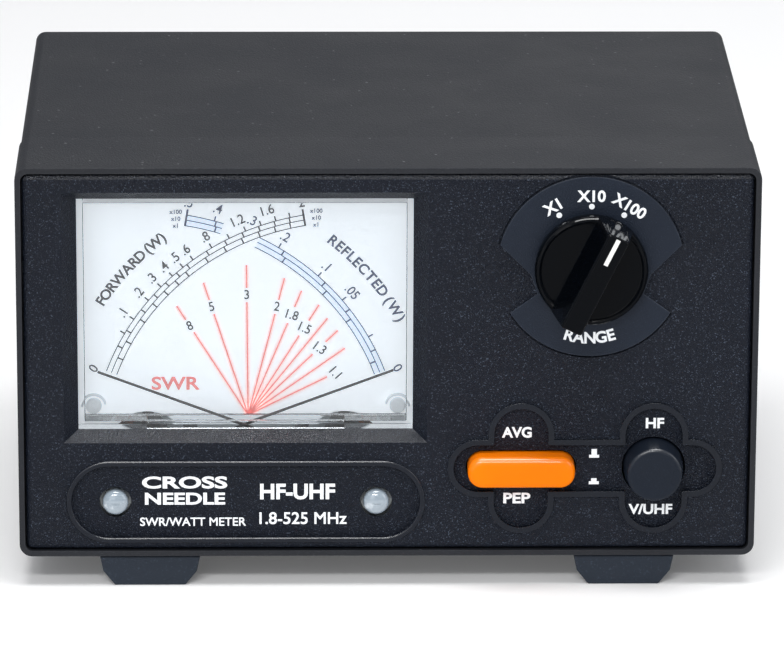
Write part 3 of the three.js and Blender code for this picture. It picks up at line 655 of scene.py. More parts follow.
@dataclass(frozen=True)
class Finish:
    """How a surface looks."""

    name: str
    colour: Levels

    def material(self) -> bpy.types.Material:
        """The material, built the first time that it is asked for.

        Returns:
            The material.
        """
        name = f"{self.name}_finish"
        made = bpy.data.materials.get(name)
        if made is None:
            made = bpy.data.materials.new(name)
            made.use_nodes = True
            self.shade(Tree(made.node_tree), made.node_tree.nodes["Principled BSDF"])
        return made

    def shade(self, tree: Tree, shader: bpy.types.Node) -> None:
        """Feeds the material's shader."""
        raise NotImplementedError


@dataclass(frozen=True)
class Plastic(Finish):
    """Moulded plastic or paint with a grain."""

    # Colour and share of the light specks, partly grain and partly painted glints.
    fleck_and_glint: Levels = (90, 95, 105)
    fleck_and_glint_share: float = 0.3
    roughness: float = 0.5
    spread: float = 0.05
    scale: float = 2600
    relief: float = 0.05 * MM
    # How much lighter the edges get, partly by rubbing and partly by a painted highlight.
    edge_wear_and_highlight: float = 0.3
    dust: float = 0.0
    gloss: float = 0.35
    polish: float = 0.0
    coat: float = 0.0

    def shade(self, tree: Tree, shader: bpy.types.Node) -> None:
        """Grain with light specks that are partly painted glints, then edges lightened by rubbing and by
        a painted highlight, then dust, with more polish on the parts that look up.

        Args:
            tree: the node tree to build in.
            shader: the material's shader.
        """
        grain = GRAIN.place(tree, {
            "Base": tint(self.colour), "FleckAndGlint": tint(self.fleck_and_glint), "FleckAndGlintShare": self.fleck_and_glint_share,
            "Scale": self.scale, "Roughness": self.roughness, "Spread": self.spread,
        })
        colour = EDGE_WEAR_AND_HIGHLIGHT.place(tree, {
            "Base": grain["Color"], "WornAndHighlight": tint(self.colour, step=WORN_AND_HIGHLIGHT_STEP), "Width": WORN_AND_HIGHLIGHT_WIDTH,
            "Amount": self.edge_wear_and_highlight,
        })["Color"]
        if self.dust:
            colour = DUST.place(tree, {
                "Base": colour, "Speck": tint(DUST_COLOUR), "Amount": self.dust,
            })["Color"]
        gloss = tree.between(tree.upward(), 0.05, 0.5, self.gloss, max(self.gloss, self.polish))
        tree.feed(shader, {
            "Base Color": colour, "Roughness": grain["Roughness"],
            "Normal": tree.bumped(grain["Height"], self.relief),
            "Specular IOR Level": gloss, "Coat Weight": self.coat, "Coat Roughness": 0.08,
        })


@dataclass(frozen=True)
class Metal(Finish):
    """Plated or bare metal with fine scratches."""

    roughness: float = 0.25
    scratch: float = 900

    def shade(self, tree: Tree, shader: bpy.types.Node) -> None:
        """Stretched noise for the scratches and broad noise for tarnish.

        Args:
            tree: the node tree to build in.
            shader: the material's shader.
        """
        drawn = tree.add("Mapping", {"Vector": tree.place(), "Scale": (1, 0.08, 1)}).outputs[0]
        noise = tree.add("TexNoise", {"Vector": drawn, "Scale": self.scratch, "Detail": 4})
        lines = noise.outputs["Fac"]
        tarnish = tree.between(tree.spots(120, 3), 0.35, 0.75)
        tree.feed(shader, {
            "Base Color": tree.mixed(tarnish, tint(self.colour), tint(self.colour, 0.72)),
            "Metallic": 1.0,
            "Roughness": tree.between(lines, 0.3, 0.7, self.roughness * 0.7, self.roughness * 1.4),
            "Normal": tree.bumped(lines, 0.01 * MM),
        })


@dataclass(frozen=True)
class Clear(Finish):
    """Clear moulded plastic."""

    roughness: float = 0.03

    def shade(self, tree: Tree, shader: bpy.types.Node) -> None:
        """Plain transmission with faint moulding waves."""
        rough = tree.between(tree.spots(300), 0.3, 0.7, self.roughness * 0.5, self.roughness * 1.5)
        tree.feed(shader, {
            "Base Color": tint(self.colour), "Transmission Weight": 1.0, "IOR": 1.49, "Roughness": rough,
            "Normal": tree.bumped(tree.spots(60, 1), 0.02 * MM, 0.3),
        })


@dataclass(frozen=True)
class PaintedGlowCard(Finish):
    """Printed white dial card, with a painted glow that stands in for the light of the lamps above it.
    """

    # glow: painted light that the card gives off, since it is no lamp.
    glow: float = 0.5
    # shade_top: how far the painted shadow under the upper edge darkens the card.
    shade_top: float = 0.0

    def shade(self, tree: Tree, shader: bpy.types.Node) -> None:
        """Paper fibre in colour and height, with a painted glow, and a painted shadow that darkens it
        under the upper edge.

        Args:
            tree: the node tree to build in.
            shader: the material's shader.
        """
        fibre = tree.spots(1500, 4)
        share = tree.between(fibre, 0.35, 0.65)
        paper = tree.mixed(share, tint(self.colour, step=-6), tint(self.colour))
        # Painted shadow of the window's top: the card turns darker near its upper edge.
        place = tree.add("TexCoord").outputs["Generated"]
        level = tree.add("SeparateXYZ", {0: place}).outputs["Z"]
        fade = tree.between(level, 0.93, 0.99, 0, self.shade_top)
        colour = tree.mixed(fade, paper, tint(self.colour, 0.6))
        tree.feed(shader, {
            "Base Color": colour, "Roughness": 0.65, "Emission Color": colour,
            "Emission Strength": self.glow, "Normal": tree.bumped(fibre, 0.01 * MM),
        })


@dataclass(frozen=True)
class Ink(Finish):
    """Screen-printed ink, slightly uneven."""

    # glow: light that the ink gives off; on the dial's inks and on the panel's white legends it is
    # painted light, as they are no lamps.
    glow: float = 0.0

    def shade(self, tree: Tree, shader: bpy.types.Node) -> None:
        """Slightly thinner ink in spots, with a glow that is painted light where it is set.

        Args:
            tree: the node tree to build in.
            shader: the material's shader.
        """
        share = tree.between(tree.spots(1800, 3), 0.45, 0.75)
        colour = tree.mixed(share, tint(self.colour), tint(self.colour, step=14))
        rough = tree.between(tree.spots(600), 0.3, 0.7, 0.45, 0.6)
        tree.feed(shader, {
            "Base Color": colour, "Roughness": rough, "Emission Color": colour,
            "Emission Strength": self.glow,
        })


@dataclass(frozen=True)
class Winding(Finish):
    """Enamelled copper wire wound in even turns."""

    pitch: float = 900

    def shade(self, tree: Tree, shader: bpy.types.Node) -> None:
        """Bands across the winding, with painted shade in the gaps between the turns.

        Args:
            tree: the node tree to build in.
            shader: the material's shader.
        """
        wave = {"Vector": tree.place(), "Scale": self.pitch, "Distortion": 0.4}
        bands = tree.add("TexWave", wave, bands_direction="Y").outputs["Fac"]
        tree.feed(shader, {
            # Painted shade: the colour falls to a third between the turns.
            "Base Color": tree.mixed(bands, tint(self.colour, 1 / 3), tint(self.colour)),
            "Metallic": 0.85, "Roughness": 0.3, "Normal": tree.bumped(bands, 0.08 * MM),
        })


@dataclass(frozen=True)
class Laminate(Finish):
    """Green circuit board with darker tracks under its lacquer."""

    def shade(self, tree: Tree, shader: bpy.types.Node) -> None:
        """Square cells for the tracks, and fine weave in the height.

        Args:
            tree: the node tree to build in.
            shader: the material's shader.
        """
        cells = {"Vector": tree.place(), "Scale": 260}
        tracks = tree.add("TexVoronoi", cells, distance="MANHATTAN", feature="F2").outputs["Distance"]
        share = tree.between(tracks, 0.48, 0.55)
        tree.feed(shader, {
            "Base Color": tree.mixed(share, tint(self.colour), tint(self.colour, step=25)),
            "Roughness": tree.between(tree.spots(700), 0.3, 0.7, 0.3, 0.45),
            "Normal": tree.bumped(tracks, 0.03 * MM),
        })


HOOD = Plastic("hood_plastic", (33, 35, 40), fleck_and_glint=(62, 65, 72), fleck_and_glint_share=0.45, roughness=0.58, scale=2400,
               relief=0.06 * MM, dust=0.35, gloss=0.25)
# The sand texture's light specks are mostly painted glints of its sparkle.
SAND = Plastic("sand_texture_plastic", (16, 21, 32), fleck_and_glint=(106, 118, 136), fleck_and_glint_share=0.5, roughness=0.3,
               scale=3500, relief=0.2 * MM, edge_wear_and_highlight=0.3, gloss=0.16, polish=1.0)
BEAD = Plastic("bead_plastic", (16, 21, 31), fleck_and_glint=(60, 70, 86), fleck_and_glint_share=0.25, roughness=0.2, scale=3200,
               relief=0.02 * MM, edge_wear_and_highlight=0.15, gloss=0.2, polish=1.0)
# The escutcheon's lighter edges are partly rubbing and partly a painted highlight.
ESCUTCHEON = Plastic("fine_matt_plastic", (28, 35, 47), fleck_and_glint=(64, 76, 94), fleck_and_glint_share=0.35, roughness=0.42,
                     scale=3600, relief=0.06 * MM, gloss=0.16, edge_wear_and_highlight=0.8, polish=0.9)
PAINT = Plastic("crinkle_painted_steel", (33, 35, 40), fleck_and_glint=(62, 65, 72), fleck_and_glint_share=0.45, roughness=0.6,
                scale=2400, relief=0.06 * MM, dust=0.35, gloss=0.25)
FOOT = Plastic("slate_foot_plastic", (38, 45, 55), fleck_and_glint=(68, 78, 92), fleck_and_glint_share=0.35, roughness=0.6,
               scale=2000, relief=0.06 * MM, gloss=0.2)
# The knob's lighter edges are mostly a painted highlight on its gloss.
KNOB = Plastic("gloss_black_plastic", (3, 5, 9), fleck_and_glint=(10, 14, 22), fleck_and_glint_share=0.15, roughness=0.1,
               scale=900, relief=0.004 * MM, edge_wear_and_highlight=0.4, spread=0.03, gloss=0.06, polish=0.4)
INLAY = Plastic("white_inlay_plastic", (244, 244, 240), fleck_and_glint=(226, 226, 220), fleck_and_glint_share=0.3, roughness=0.4,
                scale=1500, relief=0.01 * MM, edge_wear_and_highlight=0.1)
ORANGE = Plastic("orange_plastic", (252, 126, 0), fleck_and_glint=(254, 134, 4), fleck_and_glint_share=0.2, roughness=0.24,
                 scale=1400, relief=0.006 * MM, edge_wear_and_highlight=0.1, gloss=0.08, polish=0.8)
BUTTON = Plastic("satin_black_plastic", (22, 29, 40), fleck_and_glint=(48, 58, 72), fleck_and_glint_share=0.25, roughness=0.3,
                 scale=2800, relief=0.02 * MM, gloss=0.14, edge_wear_and_highlight=0.3, polish=1.0)
SWITCH = Plastic("switch_body_plastic", (45, 49, 56), fleck_and_glint=(70, 75, 84), fleck_and_glint_share=0.2, roughness=0.5,
                 scale=1500, relief=0.02 * MM)
WHITE = Plastic("white_moulded_plastic", (226, 231, 233), fleck_and_glint=(205, 211, 214), fleck_and_glint_share=0.25,
                roughness=0.5, scale=1200, relief=0.015 * MM, edge_wear_and_highlight=0.1)
PEARL = Plastic("pearl_plastic", (150, 163, 174), fleck_and_glint=(214, 223, 230), fleck_and_glint_share=0.7, roughness=0.12,
                scale=420, relief=0.012 * MM, edge_wear_and_highlight=0.1, coat=1.0, gloss=0.8)
PTFE = Plastic("ptfe", (233, 230, 220), fleck_and_glint=(214, 210, 198), fleck_and_glint_share=0.2, roughness=0.45, scale=900,
               relief=0.01 * MM, edge_wear_and_highlight=0.1)
NEEDLE = Plastic("painted_needle", (20, 21, 24), fleck_and_glint=(50, 52, 56), fleck_and_glint_share=0.2, roughness=0.35,
                 scale=2500, relief=0.005 * MM)
BLACK_SCREW = Metal("blackened_steel", (38, 38, 41), roughness=0.35)
ZINC = Metal("zinc_plated_steel", (176, 176, 170), roughness=0.35)
MAGNET = Metal("magnet_steel", (112, 114, 118), roughness=0.42)
NICKEL = Metal("bright_nickel", (205, 203, 196), roughness=0.18)
SILVER = Metal("silver_plate", (224, 218, 200), roughness=0.2)
COPPER = Winding("copper_winding", (190, 104, 52))
BOARD = Laminate("circuit_board", (24, 84, 48))
CLEAR = Clear("clear_meter_plastic", (250, 253, 255))
# The dial card and the pale parts on it glow with painted light that stands in for the meter's lamps;
# the card also has a painted shadow under its top.
CARD = PaintedGlowCard("dial_card", (242, 246, 250), glow=0.43, shade_top=0.4)
PAINTED_GLOW_WHITE = PaintedGlowCard("painted_glow_white_plastic", (204, 209, 213), glow=0.3)
BLACK_INK = Ink("black_dial_ink", (24, 28, 40))
BLUE_INK = Ink("blue_dial_ink", (42, 62, 104))
# The pale, rose and red dial inks glow with painted light that stands in for the meter's lamps.
PALE_INK = Ink("pale_blue_dial_ink", (218, 231, 250), glow=0.42)
ROSE_INK = Ink("rose_dial_ink", (250, 206, 203), glow=0.45)
RED_INK = Ink("red_dial_ink", (232, 128, 122), glow=0.25)
RED_WORD_INK = Ink("red_word_ink", (240, 132, 128), glow=0.25)
# The white legends glow faintly with painted light that brightens them.
WHITE_INK = Ink("white_legend_ink", (236, 239, 242), glow=0.12)


def dress(piece: Object, finish: Finish, slot: str, *nodes: str, body: str = "case") -> Object:
    """Gives a new piece its finish and its place in the part.

    Args:
        piece: the piece.
        finish: how it looks.
        slot: the record's material slot; not used.
        nodes: the CAD nodes that it stands for.
        body: the body that it moves with.

    Returns:
        The piece.
    """
    piece.data.materials.clear()
    piece.data.materials.append(finish.material())
    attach(piece, body)
    if nodes:
        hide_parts(*nodes)
    LOG.info("%s: %d faces, on %s", piece.name, len(piece.data.polygons), body)
    return piece


def carry(node: str, finish: Finish) -> None:
    """Keeps a CAD node's shape and gives it a finish."""
    for place in bpy.data.objects[node].material_slots:
        place.material = finish.material()
    LOG.info("%s: kept, in %s", node, finish.name)


# ------------------------------------------------------------------ lettering
@dataclass(frozen=True)
class Legend:
    """A word or number printed on an upright face."""

    words: str
    cap: float
    x: float
    z: float
    tilt: float = 0.0
    wide: float = 1.0


def around(x: float, z: float, legends: Sequence[Legend]) -> list[Legend]:
    """Legends whose places were given from a point, moved to that point."""
    return [replace(legend, x=x + legend.x, z=z + legend.z) for legend in legends]


@dataclass(frozen=True)
class Printer:
    """Prints legends as thin films of ink that stand just proud of a face."""

    face: float
    film: float = 0.05 * MM
    bold: float = 0.012
    cap_share: float = 0.729
    copy_rise: float = 0.06
    space: float = 0.25
    letter_gap: float = 0.2
    facing_back: bool = False

    def stamp(self, name: str, legend: Legend) -> Object:
        """One legend as a closed film, centred on its place.

        Args:
            name: the new piece's name.
            legend: what it says, and where.

        Returns:
            The film.
        """
        only()
        bpy.ops.object.text_add()
        letters = bpy.context.object
        letters.data.body = legend.words
        letters.data.align_x = "CENTER"
        letters.data.align_y = "CENTER"
        letters.data.size = legend.cap / self.cap_share
        sharp = "M" in legend.words
        letters.data.offset = 0 if sharp else self.bold * letters.data.size
        letters.data.extrude = self.film / 2
        letters.data.resolution_u = 4
        bpy.ops.object.convert(target="MESH")
        film = bpy.context.object
        with editing(film):
            bpy.ops.mesh.select_all(action="SELECT")
            bpy.ops.mesh.remove_doubles(threshold=0.001 * MM)
            if sharp:
                reach = self.bold * legend.cap / self.cap_share
                bpy.ops.transform.translate(value=(-reach, -reach, 0))
                rise = self.film * self.copy_rise
                for step in ((2 * reach, 0, rise), (0, 2 * reach, rise), (-2 * reach, 0, rise)):
                    bpy.ops.mesh.duplicate_move(TRANSFORM_OT_translate={"value": step})
        film.scale = (legend.wide, 1, 1)
        turn = math.radians(legend.tilt)
        if self.facing_back:
            film.rotation_euler = (FACING_FRONT, turn, math.pi)
            film.location = (legend.x, self.face + self.film / 2, legend.z)
        else:
            film.rotation_euler = (FACING_FRONT, turn, 0)
            film.location = (legend.x, self.face - self.film / 2, legend.z)
        return settled(name)

    def width(self, letter: str, cap: float) -> float:
        """How much room a letter takes in a word.

        Args:
            letter: the letter.
            cap: the height of a capital.

        Returns:
            The room.
        """
        if letter == " ":
            return self.space * cap
        piece = self.stamp("measured", Legend(letter, cap, 0, 0))
        room = piece.dimensions.x + self.letter_gap * cap
        bpy.data.objects.remove(piece)
        return room

    def sheet(self, name: str, legends: Sequence[Legend]) -> Object:
        """Several legends as one piece."""
        films = [self.stamp(f"{name}_{index}", legend) for index, legend in enumerate(legends)]
        return joined(name, films)

    def line(self, name: str, start: Pair, end: Pair, width: float) -> Object:
        """A straight printed line between two places in X and Z.

        Args:
            name: the new piece's name.
            start: where it starts.
            end: where it ends.
            width: the line's width.

        Returns:
            The line.
        """
        run, rise = end[0] - start[0], end[1] - start[1]
        only()
        bpy.ops.mesh.primitive_cube_add(
            size=1,
            location=((start[0] + end[0]) / 2, self.face - self.film / 2, (start[1] + end[1]) / 2),
            rotation=(0, -math.atan2(rise, run), 0),
            scale=(math.hypot(run, rise), self.film, width),
        )
        return settled(name)

    def arc(self, name: str, centre: Vector, radius: float, width: float,
            angles: Pair, steps: int = 48) -> Object:
        """A printed arc about a centre."""
        radii = (radius - width / 2, radius + width / 2)
        return swept(name, centre, radii, (self.face - self.film, self.face), angles, steps)


# ------------------------------------------------------------------ case
def middle(node: str) -> Vector:
    """The middle of a CAD node's box."""
    low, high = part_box(node)
    return (low + high) / 2


@dataclass(frozen=True)
class PanScrew:
    """A screw with a low domed head and a cross recess."""

    head: float = 3.0 * MM
    height: float = 1.2 * MM
    shank: float = 1.45 * MM
    reach: float = 4.0 * MM
    slot_width: float = 0.8 * MM
    slot_share: float = 1.15
    slot_depth: float = 0.7 * MM
    point_share: float = 0.7
    point_length: float = 0.4 * MM
    dome: tuple[Pair, ...] = (
        (0.96, 0), (1, 0.12), (1, 0.35), (0.93, 0.62), (0.78, 0.85), (0.5, 1), (0.2, 1),
    )

    def build(self, name: str, seat: Vector, along: Vector) -> Object:
        """The screw with the underside of its head at a seat, its head pointing along an axis.

        Args:
            name: the new piece's name.
            seat: the place under the middle of its head.
            along: the way that its head points.

        Returns:
            The screw.
        """
        profile = [
            (self.shank * self.point_share, -self.reach),
            (self.shank, -self.reach + self.point_length),
            (self.shank, 0),
        ] + [(self.head * wide, self.height * high) for wide, high in self.dome]
        screw = turned(name, seat, along, profile, sides=32)
        half = self.head * self.slot_share / 2
        across = UPWARD if abs(along.z) < 0.5 else Vector((1, 0, 0))
        aside = along.cross(across)
        for way, other in ((across, aside), (aside, across)):
            reach = way * half + other * self.slot_width / 2
            bottom = seat + along * (self.height - self.slot_depth)
            corners = [bottom - reach, bottom + reach, seat + along * 2 * self.height + reach]
            low = Vector(min(c[axis] for c in corners) for axis in range(3))
            high = Vector(max(c[axis] for c in corners) for axis in range(3))
            merge(screw, block("slot", low, high), Merge.CUT)
        return smooth(screw)


@dataclass(frozen=True)
class Case:
    """The hood, top cover, tray, rear plate, feet and their screws."""

    hood_edge: float = 0.35 * MM
    sheet_edge: float = 0.3 * MM
    foot_waist: float = 3.1 * MM
    foot_waist_width: float = 19.8 * MM
    foot_sole_width: float = 14.9 * MM
    foot_edge: float = 0.35 * MM
    foot_recess: float = 3.3 * MM
    foot_recess_depth: float = 3.6 * MM
    rear_screw_inset: float = 5.0 * MM
    rear_screw: PanScrew = PanScrew(head=2.6 * MM, height=1.1 * MM, shank=1.2 * MM, slot_width=0.6 * MM)

    def build(self) -> None:
        """Builds every piece of the case."""
        hood = refined("hood_moulding", "bezel_frame", self.hood_edge, 3)
        dress(hood, HOOD, "hood_plastic", "bezel_frame")
        for name, node in (("folded_cover", "top_cover"), ("folded_tray", "chassis_tray"),
                           ("rear_plate", "rear_panel")):
            dress(refined(name, node, self.sheet_edge), PAINT, "painted_steel", node)
        self.build_feet()
        self.build_side_screws()
        self.build_rear_screws()

    def foot(self, name: str, node: str) -> Object:
        """A foot with straight upper sides, sloped lower sides and a screw recess in its sole.

        Args:
            name: the new piece's name.
            node: the CAD node.

        Returns:
            The foot.
        """
        low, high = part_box(node)
        centre = (low + high) / 2
        waist = low.z + self.foot_waist
        foot = block(name, (low.x, low.y, waist), high)
        with editing(foot):
            pick_faces(foot, lambda _, normal: normal.z < -0.9)
            share = self.foot_waist_width / (high.x - low.x)
            bpy.ops.transform.resize(value=(share, 1, 1), center_override=(centre.x, centre.y, waist))
            bpy.ops.mesh.extrude_region_move(
                TRANSFORM_OT_translate={"value": (0, 0, -self.foot_waist)}
            )
            share = self.foot_sole_width / self.foot_waist_width
            bpy.ops.transform.resize(value=(share, 1, 1), center_override=(centre.x, centre.y, low.z))
        recess = drilled(
            "recess", Vector((centre.x, centre.y, low.z - MM)), UPWARD, self.foot_recess,
            self.foot_recess_depth + MM, sides=40,
        )
        return softened(merge(foot, recess, Merge.CUT), self.foot_edge, 3)

    def build_feet(self) -> None:
        """Four feet and the screws that hold them, each modelled once and copied."""
        first = "front_left"
        foot = self.foot("foot_front_left_moulding", f"foot_{first}")
        low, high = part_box(f"foot_screw_{first}")
        centre = (low + high) / 2
        seat = Vector((centre.x, centre.y, low.z + PanScrew.height))
        bolt = PanScrew(reach=high.z - low.z - PanScrew.height)
        screw = bolt.build("foot_bolt_front_left", seat, -UPWARD)
        for corner in ("front_right", "rear_left", "rear_right"):
            shift = middle(f"foot_{corner}") - middle(f"foot_{first}")
            other = copied(foot, f"foot_{corner}_moulding", shift)
            dress(other, FOOT, "foot_plastic", f"foot_{corner}")
            other = copied(screw, f"foot_bolt_{corner}", shift)
            dress(other, BLACK_SCREW, "black_screw", f"foot_screw_{corner}")
        dress(foot, FOOT, "foot_plastic", f"foot_{first}")
        dress(screw, BLACK_SCREW, "black_screw", f"foot_screw_{first}")

    def build_side_screws(self) -> None:
        """Two screws in each side of the top cover."""
        for side, way in (("left", Vector((-1, 0, 0))), ("right", Vector((1, 0, 0)))):
            low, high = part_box(f"cover_screw_front_{side}")
            centre = (low + high) / 2
            outer = high.x if way.x > 0 else low.x
            seat = Vector((outer - way.x * PanScrew.height, centre.y, centre.z))
            screw = PanScrew().build(f"cover_bolt_front_{side}", seat, way)
            shift = middle(f"cover_screw_rear_{side}") - centre
            rear = copied(screw, f"cover_bolt_rear_{side}", shift)
            dress(screw, BLACK_SCREW, "black_screw", f"cover_screw_front_{side}")
            dress(rear, BLACK_SCREW, "black_screw", f"cover_screw_rear_{side}")

    def build_rear_screws(self) -> None:
        """Four small screws near the corners of the rear plate."""
        low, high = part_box("rear_panel")
        inset = self.rear_screw_inset
        places = [
            (side, level, Vector((x, high.y, z)))
            for side, x in (("left", low.x + inset), ("right", high.x - inset))
            for level, z in (("low", low.z + inset), ("high", high.z - inset))
        ]
        first = self.rear_screw.build("rear_bolt_left_low", places[0][2], BACKWARD)
        for side, level, place in places[1:]:
            other = copied(first, f"rear_bolt_{side}_{level}", place - places[0][2])
            dress(other, BLACK_SCREW, "black_screw")
        dress(first, BLACK_SCREW, "black_screw")


# ------------------------------------------------------------------ front panel
@dataclass(frozen=True)
class FrontPanel:
    """The moulded front panel with its window, sunk areas, escutcheon and white legends."""

    thickness: float = 3.0 * MM
    corner: float = 1.3 * MM
    fillet: float = 1.15 * MM
    edge: float = 0.18 * MM
    bead_proud: float = 0.4 * MM
    bead_width: float = 1.2 * MM
    bead_round: float = 0.38 * MM
    floor_depth: float = 0.6 * MM
    past: float = 1.0 * MM
    cover_lap: float = 0.55 * MM
    slope_x: float = 3.0 * MM
    slope_z: float = 2.15 * MM
    name_inset: float = 0.3 * MM
    name_height: float = 18.2 * MM
    name_from_case: float = 2.9 * MM
    adjuster_hole: float = 3.35 * MM
    shaft_hole: float = 4.7 * MM
    key_clearance: float = 0.4 * MM
    long_area: Pair = (57.7 * MM, 12.7 * MM)
    avg_area: Pair = (13.8 * MM, 28.8 * MM)
    band_area: Pair = (14.4 * MM, 28.8 * MM)
    area_shift: float = 0.5 * MM
    escutcheon: float = 19.5 * MM
    escutcheon_proud: float = 0.3 * MM
    groove: float = 0.45 * MM
    notch_inner: float = 12.6 * MM
    boss: float = 2.4 * MM
    boss_offset: float = 10.5 * MM
    groove_depth: float = 0.45 * MM
    escutcheon_edge: float = 0.12 * MM
    sunk: float = 0.2 * MM
    notch_angles: tuple[float, float, float, float] = (14, -8, -28, -31)
    weld: float = 0.03 * MM
    range_cap: float = 2.45 * MM
    range_radius: float = 15.2 * MM
    range_step: float = 31
    dot: float = 0.6 * MM
    dot_radius: float = 13.1 * MM
    dot_film: float = 0.05 * MM
    word_cap: float = 2.5 * MM
    word_radius: float = 15.6 * MM
    word_turns: tuple[float, ...] = (-16.5, -8.6, 0, 8.6, 16.2)
    avg_words: tuple[Legend, ...] = (
        Legend("AVG", 2.3 * MM, -0.8 * MM, 7.6 * MM, wide=0.98),
        Legend("PEP", 2.3 * MM, -0.9 * MM, -7.0 * MM, wide=1.2),
    )
    band_words: tuple[Legend, ...] = (
        Legend("HF", 2.25 * MM, 0.1 * MM, 9.6 * MM, wide=1.08),
        Legend("V/UHF", 2.2 * MM, -0.4 * MM, -9.5 * MM, wide=1.08),
    )
    sign_x: float = 15.4 * MM
    sign_base: tuple[float, float, float] = (1.05 * MM, -0.5 * MM, 0.65 * MM)
    sign_stem: Pair = (-0.2 * MM, 1.15 * MM)
    signs: tuple[Pair, ...] = ((2.9 * MM, 1.1 * MM), (-3.0 * MM, 0.5 * MM))
    name_words: tuple[Legend, ...] = (
        Legend("CROSS", 2.6 * MM, -12.9 * MM, 16.0 * MM, wide=1.66),
        Legend("NEEDLE", 2.6 * MM, -12.9 * MM, 12.4 * MM, wide=1.36),
        Legend("HF-UHF", 3.4 * MM, 10.8 * MM, 13.9 * MM),
    )
    scale_words: tuple[Legend, ...] = (
        Legend("SWR/WATT METER", 1.9 * MM, -11.2 * MM, 7.3 * MM),
        Legend("1.8-525 MHz", 2.7 * MM, 11.7 * MM, 8.0 * MM, wide=0.98),
    )

    def face(self) -> float:
        """The Y of the panel's flat face."""
        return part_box("front_panel")[0].y + self.bead_proud

    def areas(self, inset: float, low: float, high: float, chosen: slice = slice(0, 4)) -> list[Object]:
        """The name area and the three parts of the switch area, each inset by a distance.

        Args:
            inset: how far inside its outline each area ends.
            low: their front Y.
            high: their rear Y.
            chosen: which areas to make.

        Returns:
            The solids.
        """
        cover_low, cover_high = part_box("meter_cover")
        window_half = (cover_high.x - cover_low.x) / 2 - self.cover_lap + self.slope_x
        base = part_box("bezel_frame")[0].z
        avg, band = middle("avg_pep_button"), middle("band_button")
        name = Vector((
            (cover_low.x + cover_high.x) / 2, 0, base + self.name_from_case + self.name_height / 2
        ))
        name_width = 2 * (window_half - self.name_inset)
        long = Vector(((avg.x + band.x) / 2 - self.area_shift, 0, avg.z))
        shapes = (
            ("name_area", name, name_width, self.name_height),
            ("long_area", long, *self.long_area),
            ("avg_area", avg, *self.avg_area),
            ("band_area", band, *self.band_area),
        )
        return [
            capsule(label, centre, width - 2 * inset, height - 2 * inset, low, high)
            for label, centre, width, height in shapes[chosen]
        ]

    def window(self) -> Object:
        """The solid that cuts the window, wider at the front.

        Returns:
            The solid.
        """
        low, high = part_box("meter_cover")
        face = self.face()
        drift = self.past / self.thickness
        centre = (low + high) / 2
        half_x = (high.x - low.x) / 2 - self.cover_lap
        half_z = (high.z - low.z) / 2 - self.cover_lap
        back_x, back_z = half_x - self.slope_x * drift, half_z - self.slope_z * drift
        front_x = half_x + self.slope_x * (1 + drift)
        front_z = half_z + self.slope_z * (1 + drift)
        cut = block(
            "window",
            (centre.x - back_x, face - self.past, centre.z - back_z),
            (centre.x + back_x, face + self.thickness + self.past, centre.z + back_z),
        )
        with editing(cut):
            pick_faces(cut, lambda _, normal: normal.y < -0.9)
            bpy.ops.transform.resize(
                value=(front_x / back_x, 1, front_z / back_z),
                center_override=(centre.x, face - self.past, centre.z),
            )
        return cut

    def holes(self) -> list[Object]:
        """The solids that cut the holes for the keys, the shaft and the zero adjusters.

        Returns:
            The solids.
        """
        low, high = self.face() - self.past, self.face() + self.thickness + self.past
        gap = self.key_clearance
        avg_low, avg_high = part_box("avg_pep_button")
        band_low, band_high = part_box("band_button")
        round_holes = [
            (middle("band_button"), (band_high.x - band_low.x) / 2 + gap),
            (middle("range_shaft"), self.shaft_hole),
            (middle("zero_adjuster_left"), self.adjuster_hole),
            (middle("zero_adjuster_right"), self.adjuster_hole),
        ]
        cuts = [
            drilled("hole", Vector((place.x, low, place.z)), BACKWARD, radius, high - low)
            for place, radius in round_holes
        ]
        cuts.append(capsule(
            "avg_hole", middle("avg_pep_button"), avg_high.x - avg_low.x + 2 * gap,
            avg_high.z - avg_low.z + 2 * gap, low, high,
        ))
        return cuts

    def ring_place(self, angle: float, radius: float) -> Pair:
        """A place on a circle about the range shaft, in X and Z."""
        shaft = middle("range_shaft")
        turn = math.radians(angle)
        return (shaft.x + radius * math.cos(turn), shaft.z + radius * math.sin(turn))

    def panel(self) -> Object:
        """The panel's plate with everything raised, sunk and cut.

        Returns:
            The panel.
        """
        face = self.face()
        low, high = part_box("front_panel")
        rear = Vector((high.x, face + self.thickness, high.z))
        plate = rounded_block("front_panel_moulding", (low.x, face, low.z), rear, self.corner, steps=10)
        with editing(plate, "EDGE"):
            pick_edges(plate, lambda place, way: place.y < face + 0.01 * MM and abs(way.y) < 0.1)
            bpy.ops.mesh.bevel(offset=self.fillet, segments=5, affect="EDGES")
        avg, band = middle("avg_pep_button"), middle("band_button")
        for offset in (-self.boss_offset, self.boss_offset):
            foot = Vector(((avg.x + band.x) / 2, face + self.past, avg.z + offset))
            reach = high.y - foot.y
            boss = drilled("boss", foot, BACKWARD, self.boss, reach, sides=32)
            merge(plate, boss, Merge.ADD)
        for floor in self.areas(0, face - self.past, face + self.floor_depth):
            merge(plate, floor, Merge.CUT)
        merge(plate, self.window(), Merge.CUT)
        for hole in self.holes():
            merge(plate, hole, Merge.CUT)
        upper, _, _, lower = self.notch_angles
        shaft = middle("range_shaft")
        radii = (self.escutcheon, self.escutcheon + self.groove)
        depth = (face - self.past, face + self.groove_depth)
        for angles in ((upper, 180 - upper), (180 - lower, 360 + lower)):
            merge(plate, swept("groove", shaft, radii, depth, angles, steps=64), Merge.CUT)
        welded(plate, 0.01 * MM, 0.5)
        return softened(plate, self.edge, 2)

